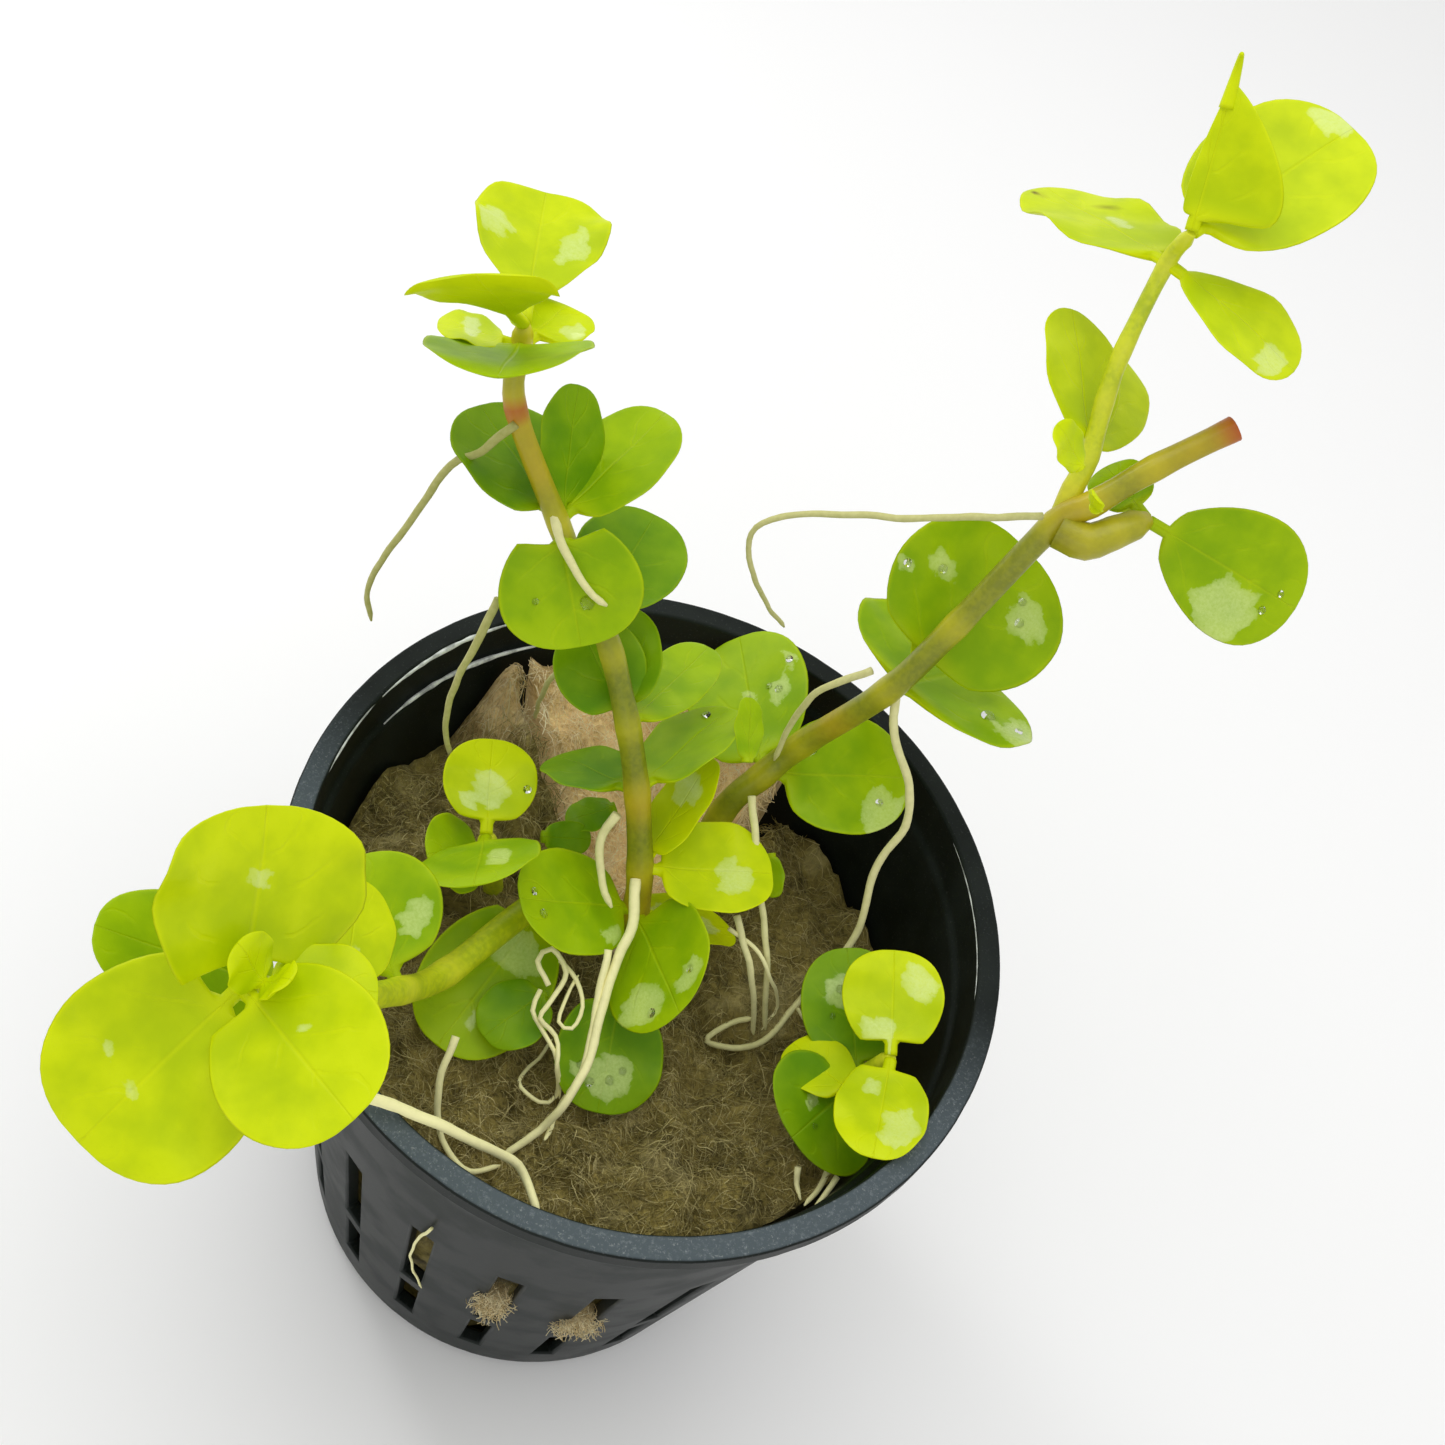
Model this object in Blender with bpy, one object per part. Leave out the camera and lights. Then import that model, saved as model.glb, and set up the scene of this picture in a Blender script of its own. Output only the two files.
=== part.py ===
"""Creeping jenny growing out of a slotted net pot packed with torn rockwool.

Lengths in the constants and tables are millimetres and angles are degrees. The world is in metres,
+Z up, with the origin at the middle of the pot's underside.
"""
from math import cos, log, pi, radians, sin, sqrt

import bmesh
import bpy
from mathutils import Vector, noise

MM = 0.001
GAP = 0.3

# Net pot
POT_HEIGHT = 50.0
RIM_RADIUS = 26.0
RIM_THICKNESS = 1.6
RIM_BORE = 24.3
BORE_DRAFT = 0.3
NECK_RADIUS = 24.9
STEP_DEPTH = 3.2
STEP_SLOPE = 0.4
FOOT_RADIUS = 17.0
BASE_RADIUS = 19.0
BASE_ROUNDING = 2.2
WALL = 1.2
FLOOR = 1.6
SLOT_COUNT = 20
SLOT_PHASE = -9.4
SLOT_WIDTH = 4.8
UPPER_SLOT = (16.5, 31.5)
LOWER_SLOT = (6.0, 14.5)

# Rockwool
WOOL_FLOOR = FLOOR + GAP
WALL_CLEARANCE = GAP + 0.15
APEX_OFFSET = 0.4
COLUMN_ANGLE = 14
WOOL_RINGS = (0.0, 0.3, 0.55, 0.8, 1.0)
LUMP_HEIGHT = 2.6
LUMP_SIZE = 6.0
PIT_SIZE = 2.5

# Stems and leaves
STEM_STEP = 3.0
STEM_SIDES = 8
LEAF_THICKNESS = 0.5
PETIOLE_WIDTH = 0.9
PETIOLE = 0.4
LONG_PETIOLES = {"leaf_tall_1": 2.5, "leaf_tall_2": 2.0, "leaf_tall_21": 5.5, "leaf_base": 1.5,
                 "leaf_right_4": 2.5}
STEEPEST_JOIN = 0.55
# Where a blade is widest, as a share of its length, and how blunt its outline is (lower is blunter).
BLADE_SHAPE = (0.5, 0.42)
BLADE_SHAPES = {
    "leaf_tall_1": (0.6, 0.45), "leaf_tall_2": (0.74, 0.5), "leaf_side_1": (0.6, 0.45),
    "leaf_upper_1": (0.55, 0.5), "leaf_upper_2": (0.6, 0.5), "leaf_upper_3": (0.5, 0.55),
    "leaf_upper_4": (0.64, 0.5), "leaf_upper_6": (0.2, 0.8),
}
# Leaves folded shut: the share of its width that the far half keeps.
FOLDED = {"leaf_upper_6": 0.2}
BLADE_STATIONS = (0.13, 0.36, 0.62, 0.86)
LEAF_COLUMNS = (-1.0, -0.5, 0.0, 0.5, 1.0)

# Routes run from the rooted end to the tip: radius at each end, then the nodes along the way.
STEMS = {
    "stem_tall": (1.0, 0.6, "olive", [
        (1.5, -1.5, 36), (-0.5, 0, 46.5), (-1.5, 1, 50), (-4, 3, 55.5), (-6.5, 4.5, 60),
        (-9.5, 6, 64.5), (-11.5, 6.5, 67), (-16, 7.5, 72.5), (-21, 8.5, 79.5), (-22, 10, 83),
        (-22.3, 10.3, 84.5)]),
    "stem_right": (1.0, 0.8, "olive", [
        (1.5, 7.5, 36), (2, 10.5, 47), (3.5, 12.5, 51), (5, 14, 54.5), (8.5, 15.5, 62.5),
        (10.5, 18, 69), (13, 22, 78), (14.5, 23, 80), (17, 25.5, 83), (20.5, 29, 86)]),
    "stem_right_upper": (0.75, 0.5, "young", [
        (13, 23.9, 79.7), (13, 25.3, 81.5), (12.2, 27.6, 84.5), (11.7, 29.5, 87.5), (11.5, 32.2, 93),
        (11.8, 31.9, 95.9)]),
    "stem_right_side": (0.9, 0.7, "olive", [
        (15.3, 21.5, 78.2), (16.7, 22.6, 79), (18.3, 24.3, 79.7)]),
    "stem_left": (1.0, 0.75, "young", [
        (-3, -0.5, 36), (-6.3, -1.6, 45), (-10, -12, 48), (-11.5, -17, 53), (-13.5, -23, 61),
        (-15, -27, 67.5), (-16.5, -30.5, 73.5)]),
    "stem_centre": (0.8, 0.6, "young", [(-10, 1, 34), (-11.5, -2, 47.5), (-12, -3, 51)]),
    "stem_sprout": (0.8, 0.6, "young", [(18, -5, 32), (18.7, -4, 40), (19, -3, 44.5), (20, -2.5, 48.5)]),
}

# Each leaf: its stem and node there, the way its midrib points (heading round from +X, rise above
# level), its roll about the midrib, length with petiole, width, cupping of the edges and tone.
LEAVES = {
    "leaf_tall_1": ("stem_tall", 10, 109, -2, 0, 12.8, 8.8, 0.15, "young"),
    "leaf_tall_2": ("stem_tall", 10, -106, 52, 38, 10, 10, -0.15, "young"),
    "leaf_tall_3": ("stem_tall", 9, -161, 4, 27, 5.3, 6.2, 0.1, "young"),
    "leaf_tall_4": ("stem_tall", 9, 76, 8, -18, 4.5, 6.5, 0.1, "young"),
    "leaf_tall_5": ("stem_tall", 9, -80, 34, 17, 10.5, 10, 0.1, "green"),
    "leaf_tall_6": ("stem_tall", 7, 153, 12, 17, 9.5, 10, 0.1, "dark"),
    "leaf_tall_7": ("stem_tall", 7, 114, 38, 37, 9, 5.9, 0.1, "dark"),
    "leaf_tall_8": ("stem_tall", 7, 75, 17, -16, 10.8, 7, 0.1, "green"),
    "leaf_tall_9": ("stem_tall", 6, 90, -1, 0, 10.2, 7.7, 0.1, "dark"),
    "leaf_tall_10": ("stem_tall", 7, -44, -34, 21, 8.2, 9.4, 0.1, "green"),
    "leaf_tall_11": ("stem_tall", 4, 150, 24, -20, 7.6, 6.4, 0.1, "dark"),
    "leaf_tall_12": ("stem_tall", 4, 125, 15, -37, 8.5, 6.6, 0.1, "dark"),
    "leaf_tall_13": ("stem_tall", 4, 80, -18, -8, 13.3, 5, 0.1, "green"),
    "leaf_tall_14": ("stem_tall", 3, 71, 9, -42, 9.7, 7.8, 0.1, "green"),
    "leaf_tall_15": ("stem_tall", 3, 162, -28, 18, 7.8, 7.1, 0.1, "dark"),
    "leaf_tall_16": ("stem_tall", 2, 81, 35, -44, 9.4, 5.5, 0.1, "young"),
    "leaf_tall_17": ("stem_tall", 2, 25, 6, -8, 9.6, 8.1, 0.1, "young"),
    "leaf_tall_18": ("stem_tall", 1, 39, -34, -19, 11, 5.3, 0.1, "young"),
    "leaf_tall_19": ("stem_tall", 1, -53, 21, 54, 10.5, 9.6, 0.1, "green"),
    "leaf_tall_20": ("stem_tall", 1, -139, 27, -7, 11, 8, 0.1, "green"),
    "leaf_tall_21": ("stem_tall", 1, -73, -20, -8, 14.4, 8, 0.1, "dark"),
    "leaf_right_1": ("stem_right", 2, 119, -4, -38, 13.2, 9.9, 0.1, "green"),
    "leaf_right_2": ("stem_right", 2, 27, 5, 13, 11.1, 9.3, 0.1, "green"),
    "leaf_right_3": ("stem_right", 4, 52, -10, -14, 9, 17.5, 0.1, "green"),
    "leaf_right_4": ("stem_right", 4, 68, 37, 25, 14, 13.5, 0.1, "green"),
    "leaf_side_1": ("stem_right_side", 2, 2, -8, 46, 12.2, 9, 0.1, "green"),
    "leaf_side_2": ("stem_right_side", 2, 129, -12, -32, 5.8, 4.3, 0.1, "green"),
    "leaf_upper_1": ("stem_right_upper", 1, 123, 23, 21, 10.5, 7.5, 0.1, "young"),
    "leaf_upper_2": ("stem_right_upper", 1, 95, -5, 20, 13.2, 7.8, 0.1, "young"),
    "leaf_upper_3": ("stem_right_upper", 4, 134, -23, 1, 14, 9.6, 0.1, "young"),
    "leaf_upper_4": ("stem_right_upper", 4, -15, -3, 0, 10.5, 7.2, 0.1, "young"),
    "leaf_upper_5": ("stem_right_upper", 5, 60, 16, 3, 14, 10, 0.1, "young"),
    "leaf_upper_6": ("stem_right_upper", 5, 110, 52, -22, 9.4, 9.8, 0.1, "young"),
    "leaf_left_1": ("stem_left", 3, 148, 20, -15, 9, 10, 0.1, "green"),
    "leaf_left_2": ("stem_left", 4, 111, 6, 37, 7.6, 6.6, 0.1, "young"),
    "leaf_left_3": ("stem_left", 6, 114, 40, 39, 9.4, 13.5, 0.1, "young"),
    "leaf_left_4": ("stem_left", 5, -158, 26, -7, 11.9, 6.6, 0.1, "green"),
    "leaf_left_5": ("stem_left", 6, -110, -24, -17, 10.9, 11.2, 0.1, "young"),
    "leaf_left_6": ("stem_left", 6, -28, 16, 21, 10.2, 9, 0.1, "young"),
    "leaf_left_7": ("stem_left", 5, -107, -13, 17, 12.1, 9, 0.1, "young"),
    "leaf_base": ("stem_left", 1, -100, -12, -6, 13.2, 9.2, 0.1, "green"),
    "leaf_centre_1": ("stem_centre", 2, 116, 20, 0, 7, 6.7, 0.1, "young"),
    "leaf_centre_2": ("stem_centre", 2, -77, 34, 27, 7.7, 8.6, 0.1, "green"),
    "leaf_centre_3": ("stem_centre", 1, -131, 29, -14, 6.1, 5.9, 0.1, "green"),
    "leaf_sprout_1": ("stem_sprout", 3, 112, 15, -15, 7.6, 7.2, 0.1, "young"),
    "leaf_sprout_2": ("stem_sprout", 3, -84, 12, 15, 8.6, 6.4, 0.1, "young"),
    "leaf_sprout_3": ("stem_sprout", 2, 120, 16, -15, 9.4, 7.4, 0.1, "dark"),
    "leaf_sprout_4": ("stem_sprout", 2, -114, 2, -17, 7.1, 9.4, 0.1, "dark"),
}

# Each torn piece of rockwool: bearings it runs between, how far its point stands back from the
# middle, height at the wall, height inside, a seed for its lumps and its tone.
WOOL = {
    "rockwool_front": (-165, -22, 0.0, 43.0, 39.5, 1.0, "wet"),
    "rockwool_right": (-20, 72, 0.6, 36.0, 38.0, 2.0, "wet"),
    "rockwool_back": (74, 138, 0.6, 45.0, 40.0, 3.0, "dry"),
    "rockwool_left": (140, 193, 0.6, 42.0, 41.0, 4.0, "wet"),
}

# Base colour, roughness
FINISHES = {
    "pot": ((0.03, 0.04, 0.035), 0.35),
    "wet": ((0.16, 0.13, 0.05), 0.9),
    "dry": ((0.52, 0.36, 0.16), 0.95),
    "young": ((0.62, 0.72, 0.01), 0.35),
    "green": ((0.33, 0.52, 0.01), 0.3),
    "dark": ((0.15, 0.32, 0.01), 0.25),
    "olive": ((0.22, 0.21, 0.02), 0.4),
}


def clear_scene():
    for old in list(bpy.data.objects):
        bpy.data.objects.remove(old, do_unlink=True)


def finish(name):
    """One material for each finish, made when it is first asked for."""
    if name in bpy.data.materials:
        return bpy.data.materials[name]
    colour, roughness = FINISHES[name]
    material = bpy.data.materials.new(name)
    material.use_nodes = True
    shader = material.node_tree.nodes["Principled BSDF"]
    shader.inputs["Base Color"].default_value = (*colour, 1.0)
    shader.inputs["Roughness"].default_value = roughness
    shader.inputs["Metallic"].default_value = 0.0
    return material


def add_object(name, shape, tone, sharp_angle=50, place=(0, 0, 0), parent=None):
    """Turn millimetre geometry into a named object whose origin is at place, riding on its parent."""
    bmesh.ops.recalc_face_normals(shape, faces=shape.faces)
    bmesh.ops.scale(shape, vec=(MM, MM, MM), verts=shape.verts)
    mesh = bpy.data.meshes.new(name)
    shape.to_mesh(mesh)
    shape.free()
    mesh.shade_smooth()
    mesh.set_sharp_from_angle(angle=radians(sharp_angle))
    mesh.materials.append(finish(tone))
    piece = bpy.data.objects.new(name, mesh)
    bpy.context.scene.collection.objects.link(piece)
    piece.location = Vector(place) * MM
    if parent:
        piece.parent = bpy.data.objects[parent]
        piece.location -= Vector(STEMS[parent][3][0]) * MM
    return piece


def turn(bearing, radius, height):
    return Vector((radius * cos(radians(bearing)), radius * sin(radians(bearing)), height))


def ring(shape, bearings, radius, height):
    return [shape.verts.new(turn(bearing, radius, height)) for bearing in bearings]


def skin(shape, lower, upper, closed=True):
    """Quads between two rings, or two rows, of equal count."""
    count = len(lower)
    for i in range(count if closed else count - 1):
        j = (i + 1) % count
        shape.faces.new((lower[i], lower[j], upper[j], upper[i]))


def wall_radius(height):
    """Outer radius of the tapered wall."""
    share = (height - BASE_ROUNDING) / (POT_HEIGHT - RIM_THICKNESS - BASE_ROUNDING)
    return BASE_RADIUS + (NECK_RADIUS - BASE_RADIUS) * share


def net_pot():
    """A tapered cup with a flat rim, an inner step under it and two tiers of slots."""
    pitch = 360 / SLOT_COUNT
    bearings = []
    for slot in range(SLOT_COUNT):
        middle = SLOT_PHASE + slot * pitch
        bearings += [middle - SLOT_WIDTH / 2, middle + SLOT_WIDTH / 2, middle + pitch / 2]

    step_height = POT_HEIGHT - STEP_DEPTH
    lip = POT_HEIGHT - RIM_THICKNESS
    corner = BASE_ROUNDING * (1 - sqrt(0.5))
    rows = [*LOWER_SLOT, *UPPER_SLOT]
    shape = bmesh.new()

    foot = [ring(shape, bearings, FOOT_RADIUS, 0),
            ring(shape, bearings, BASE_RADIUS - corner, corner),
            ring(shape, bearings, BASE_RADIUS, BASE_ROUNDING)]
    outside = [ring(shape, bearings, wall_radius(z), z) for z in rows]
    rim = [ring(shape, bearings, NECK_RADIUS, lip),
           ring(shape, bearings, RIM_RADIUS, lip),
           ring(shape, bearings, RIM_RADIUS, POT_HEIGHT),
           ring(shape, bearings, RIM_BORE, POT_HEIGHT),
           ring(shape, bearings, RIM_BORE - BORE_DRAFT, step_height),
           ring(shape, bearings, wall_radius(step_height) - WALL, step_height - STEP_SLOPE)]
    inside = [ring(shape, bearings, wall_radius(z) - WALL, z) for z in rows]
    floor = ring(shape, bearings, BASE_RADIUS - WALL, FLOOR)

    loops = [*foot, *outside, *rim, *reversed(inside), floor]
    for lower, upper in zip(loops, loops[1:]):
        skin(shape, lower, upper)
    shape.faces.new(foot[0])
    shape.faces.new(floor)
    for tier in (0, 2):
        cut_slots(shape, outside[tier:tier + 2], inside[tier:tier + 2])
    return add_object("net_pot", shape, "pot", sharp_angle=30)


def cut_slots(shape, outside, inside):
    """Open every slot column through the wall and line its four sides."""
    for column in range(0, 3 * SLOT_COUNT, 3):
        corners = []
        for lower, upper in (outside, inside):
            loop = [lower[column], lower[column + 1], upper[column + 1], upper[column]]
            shape.faces.remove(next(face for face in loop[0].link_faces if set(face.verts) == set(loop)))
            corners.append(loop)
        skin(shape, *corners)


def smooth_route(nodes):
    """Points of a Catmull-Rom curve through the nodes, with the share of the way to each."""
    path = [Vector(node) for node in nodes]
    path = [2 * path[0] - path[1], *path, 2 * path[-1] - path[-2]]
    points = []
    spans = len(path) - 3
    for span in range(spans):
        a, b, c, d = path[span:span + 4]
        pieces = max(1, round((c - b).length / STEM_STEP))
        for piece in range(pieces):
            t = piece / pieces
            point = 0.5 * (2 * b + (c - a) * t + (2 * a - 5 * b + 4 * c - d) * t * t
                           + (3 * b - a - 3 * c + d) * t * t * t)
            points.append((point, (span + t) / spans))
    return [*points, (path[-2], 1.0)]


def stem_shape(name, extra=0.0):
    """A round tube along the stem's route from its root; extra fattens it for a clearance cutter."""
    root_radius, tip_radius, _, nodes = STEMS[name]
    route = smooth_route(nodes)
    points = [point - Vector(nodes[0]) for point, _ in route]
    points[0] -= extra * (points[1] - points[0]).normalized()
    across = (points[1] - points[0]).orthogonal()
    shape = bmesh.new()
    rings = []
    for i, (_, share) in enumerate(route):
        along = (points[min(i + 1, len(points) - 1)] - points[max(i - 1, 0)]).normalized()
        across = (across - along * across.dot(along)).normalized()
        other = along.cross(across)
        radius = root_radius + (tip_radius - root_radius) * share + extra
        turns = [2 * pi * side / STEM_SIDES for side in range(STEM_SIDES)]
        rings.append([shape.verts.new(points[i] + radius * (cos(a) * across + sin(a) * other))
                      for a in turns])
    for lower, upper in zip(rings, rings[1:]):
        skin(shape, lower, upper)
    shape.faces.new(rings[0])
    shape.faces.new(rings[-1])
    return shape


def stem(name):
    _, _, tone, nodes = STEMS[name]
    return add_object(name, stem_shape(name), tone, place=nodes[0])


def node_frame(stem_name, node):
    """Place, direction and radius of the stem at one of its nodes."""
    root_radius, tip_radius, _, nodes = STEMS[stem_name]
    before = Vector(nodes[max(node - 1, 0)])
    after = Vector(nodes[min(node + 1, len(nodes) - 1)])
    radius = root_radius + (tip_radius - root_radius) * node / (len(nodes) - 1)
    return Vector(nodes[node]), (after - before).normalized(), radius


def leaf(name):
    """A thin lens of a blade on a short petiole that stops just off its stem.

    The origin is on the stem's axis, X runs along the midrib and Z out of the upper face.
    """
    stem_name, node, heading, rise, roll, length, width, cup, tone = LEAVES[name]
    place, along, radius = node_frame(stem_name, node)
    midrib = turn(heading, cos(radians(rise)), sin(radians(rise)))
    lean = abs(midrib.dot(along))
    start = (radius + GAP) / max(sqrt(1 - lean * lean), STEEPEST_JOIN) + PETIOLE_WIDTH / 2 * lean
    blade = start + LONG_PETIOLES.get(name, PETIOLE)
    widest, fullness = BLADE_SHAPES.get(name, BLADE_SHAPE)

    def row(x, half_width, thickness):
        points = []
        for side in LEAF_COLUMNS:
            far_half = side > 0 and half_width > PETIOLE_WIDTH
            y = side * half_width * (FOLDED.get(name, 1.0) if far_half else 1.0)
            z = 2 * cup * y * y / width
            lift = thickness / 2 * (1 - side * side)
            points.append((Vector((x, y, z + lift)), Vector((x, y, z - lift))))
        return points

    rows = [row(x, PETIOLE_WIDTH / 2, PETIOLE_WIDTH) for x in (start, blade)]
    for station in BLADE_STATIONS:
        share = station ** (log(0.5) / log(widest))
        half_width = width / 2 * (4 * share * (1 - share)) ** fullness
        rows.append(row(blade + (length - blade) * station, half_width, LEAF_THICKNESS))

    shape = bmesh.new()
    tip = shape.verts.new((length, 0, 0))
    faces = []
    for points in rows:
        upper = [shape.verts.new(top) for top, _ in points]
        middle = [shape.verts.new(bottom) for _, bottom in points[1:-1]]
        faces.append((upper, [upper[0], *middle, upper[-1]]))
    for (upper, lower), (next_upper, next_lower) in zip(faces, faces[1:]):
        skin(shape, upper, next_upper, closed=False)
        skin(shape, lower, next_lower, closed=False)
    for side in faces[-1]:
        for a, b in zip(side, side[1:]):
            shape.faces.new((a, b, tip))
    upper, lower = faces[0]
    shape.faces.new([*upper, *lower[-2:0:-1]])
    piece = add_object(name, shape, tone, sharp_angle=60, place=place, parent=stem_name)
    piece.rotation_euler = (radians(roll), radians(-rise), radians(heading))
    return piece


def wool_height(flat, wall_level, core_level, seed):
    """Torn top of the rockwool: a slope from core to wall, with lumps and pits."""
    share = min(flat.xy.length / RIM_BORE, 1.0)
    level = core_level + (wall_level - core_level) * share ** 2
    lumps = noise.noise(Vector((flat.x / LUMP_SIZE, flat.y / LUMP_SIZE, seed)))
    pits = 0.5 * noise.noise(Vector((flat.x / PIT_SIZE, flat.y / PIT_SIZE, seed)))
    return level + LUMP_HEIGHT * (lumps + pits)


def rockwool(name):
    """A torn wedge standing on the pot's floor and reaching its wall."""
    start, stop, stand_back, wall_level, core_level, seed, tone = WOOL[name]
    columns = round((stop - start) / COLUMN_ANGLE)
    bearings = [start + (stop - start) * i / columns for i in range(columns + 1)]
    point = turn((start + stop) / 2, stand_back + APEX_OFFSET, 0)
    shape = bmesh.new()

    def spot(bearing, share, height):
        reach = wall_radius(height) - WALL - WALL_CLEARANCE - point.length
        return point + turn(bearing, reach * share, height)

    def torn(bearing, share):
        flat = spot(bearing, share, wall_level)
        return spot(bearing, share, wool_height(flat, wall_level, core_level, seed))

    def level_row(height):
        return [shape.verts.new(spot(bearing, 1.0, height)) for bearing in bearings]

    top_point = shape.verts.new(torn(0, 0))
    low_point = shape.verts.new(spot(0, 0, WOOL_FLOOR))
    top = [[shape.verts.new(torn(bearing, share)) for bearing in bearings] for share in WOOL_RINGS[1:]]
    waist = level_row((wall_level + WOOL_FLOOR) / 2)
    low = level_row(WOOL_FLOOR)
    for a, b in zip(top[0], top[0][1:]):
        shape.faces.new((top_point, a, b))
    for inner, outer in zip([*top, waist], [*top[1:], waist, low]):
        skin(shape, inner, outer, closed=False)
    shape.faces.new([low_point, *low])
    for end in (0, -1):
        shape.faces.new([low_point, top_point, *(row[end] for row in top), waist[end], low[end]])
    return add_object(name, shape, tone, sharp_angle=70)


def channel_cutters():
    """The rooted stems again, a gap wider, gathered for the rockwool to be cut by."""
    cutters = bpy.data.collections.new("stem_channels")
    bpy.context.scene.collection.children.link(cutters)
    for name, (_, _, tone, nodes) in STEMS.items():
        if nodes[0][2] > POT_HEIGHT:
            continue
        cutter = add_object(f"channel_{name}", stem_shape(name, extra=GAP), tone, place=nodes[0])
        cutter.hide_render = True
        cutter.display_type = "WIRE"
        bpy.context.scene.collection.objects.unlink(cutter)
        cutters.objects.link(cutter)
    return cutters


def build():
    clear_scene()
    net_pot()
    cutters = channel_cutters()
    for name in WOOL:
        channels = rockwool(name).modifiers.new("stem_channels", "BOOLEAN")
        channels.operation = "DIFFERENCE"
        channels.operand_type = "COLLECTION"
        channels.collection = cutters
    for name in STEMS:
        stem(name)
    for name in LEAVES:
        leaf(name)


build()
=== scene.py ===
# %% [markdown]
# # Creeping jenny in a net pot
# A small golden creeping jenny stands in a slotted black net pot packed with torn rockwool. The
# solids of the model carry its sizes. This notebook dresses them: each leaf, stem and lump of
# rockwool is modelled again, finer, around the solid that it stands for, and gets its finish.

# %% Load the solids
import random
from math import atan2, cos, exp, log, pi, radians, sin, sqrt

import bmesh
import bpy
from mathutils import Matrix, Vector, noise


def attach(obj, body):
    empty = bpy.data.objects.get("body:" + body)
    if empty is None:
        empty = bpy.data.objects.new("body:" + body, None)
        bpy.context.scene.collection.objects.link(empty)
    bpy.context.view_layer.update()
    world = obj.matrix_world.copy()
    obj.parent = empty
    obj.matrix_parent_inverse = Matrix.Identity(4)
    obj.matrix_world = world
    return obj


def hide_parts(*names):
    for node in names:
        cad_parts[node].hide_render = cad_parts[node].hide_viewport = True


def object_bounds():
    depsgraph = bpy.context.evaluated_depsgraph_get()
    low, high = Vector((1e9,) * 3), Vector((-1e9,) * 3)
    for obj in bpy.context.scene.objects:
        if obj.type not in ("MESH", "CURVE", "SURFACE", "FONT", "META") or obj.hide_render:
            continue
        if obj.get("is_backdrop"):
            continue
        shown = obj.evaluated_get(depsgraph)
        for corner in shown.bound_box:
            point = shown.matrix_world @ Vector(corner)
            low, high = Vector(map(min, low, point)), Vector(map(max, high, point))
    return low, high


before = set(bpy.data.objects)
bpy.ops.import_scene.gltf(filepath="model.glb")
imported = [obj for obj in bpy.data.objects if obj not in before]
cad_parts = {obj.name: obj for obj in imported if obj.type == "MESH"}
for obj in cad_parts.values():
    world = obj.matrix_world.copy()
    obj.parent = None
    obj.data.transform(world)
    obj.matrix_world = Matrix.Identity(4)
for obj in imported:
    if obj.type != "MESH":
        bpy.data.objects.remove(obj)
solid_box = [list(corner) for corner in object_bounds()]
MM = 0.001


def put(name, data):
    """A new object in the scene."""
    made = bpy.data.objects.new(name, data)
    bpy.context.scene.collection.objects.link(made)
    return made


print(len(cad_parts), "solids, box in mm", [[round(v / MM) for v in corner] for corner in solid_box])

# %% [markdown]
# ## Camera
# The photo looks down on the pot steeply from the front, turned a little, so that "up" runs to the
# upper right of the picture. A camera can be placed by trial, or worked out from round edges whose
# shape in space is known. The pot's rim and base are two such circles, and they gave this one:
# where the eye is, what it aims at, how far it rolls, and a small shift for the way the photo is cut.

# %% Camera
EYE = Vector((0.5, -70.5, 166.0))
AIM = Vector((-9.3, 26.7, 50.0))
ROLL = 22.1
LENS = 47.3
FRAME_SHIFT = (0.03, -0.10)

camera = put("camera", bpy.data.cameras.new("camera"))
bpy.context.scene.camera = camera
camera.location = EYE * MM
looking = (AIM - EYE).to_track_quat("-Z", "Y").to_matrix().to_4x4()
camera.rotation_euler = (looking @ Matrix.Rotation(radians(ROLL), 4, "Z")).to_euler()
camera.data.lens = LENS
camera.data.shift_x, camera.data.shift_y = FRAME_SHIFT
camera.data.clip_start, camera.data.clip_end = 0.01, 10.0
print("camera", [round(v, 3) for v in camera.location],
      "looking", [round(v, 2) for v in camera.rotation_euler])

# %% [markdown]
# ## Floor and light
# A pale floor and soft boxes, as on a product table. The wet leaves and the glossy pot show what
# they mirror, so the boxes are placed by their reflections: one large box overhead and towards the
# back, whose reflection on the front of the rim and on the leaf edges that turn down is also painted
# on as grey and whitish sheen, a narrow one over the pot's bore, whose bright arcs are helped by
# painted highlight lines, and a weak one in front for the outside of the wall.

# %% Floor and light
FLOOR_SIZE = 3.0
FLOOR_TONE = (0.95, 0.95, 0.945)
SOFT_BOXES = {
    "overhead": ((-30, 60, 330), (0, 5, 60), (260, 260), 0.34),
    "left_strip": ((-230, 120, 190), (0, 0, 50), (60, 220), 0.16),
    "front_fill": ((60, -320, 160), (0, 0, 30), (260, 160), 0.1),
}
SKY = (1.0, 1.0, 1.0)
SKY_STRENGTH = 0.72

floor_mesh = bpy.data.meshes.new("floor")
side = FLOOR_SIZE / 2
floor_corners = [(-side, -side, 0), (side, -side, 0), (side, side, 0), (-side, side, 0)]
floor_mesh.from_pydata(floor_corners, [], [(0, 1, 2, 3)])
floor = put("floor", floor_mesh)
floor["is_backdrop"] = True

for name, (place, aim, size, power) in SOFT_BOXES.items():
    box = bpy.data.lights.new(name, "AREA")
    box.shape = "RECTANGLE"
    box.size, box.size_y = size[0] * MM, size[1] * MM
    box.energy = power
    lamp = put(name, box)
    lamp.location = Vector(place) * MM
    lamp.rotation_euler = (Vector(aim) - Vector(place)).to_track_quat("-Z", "Y").to_euler()

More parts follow.
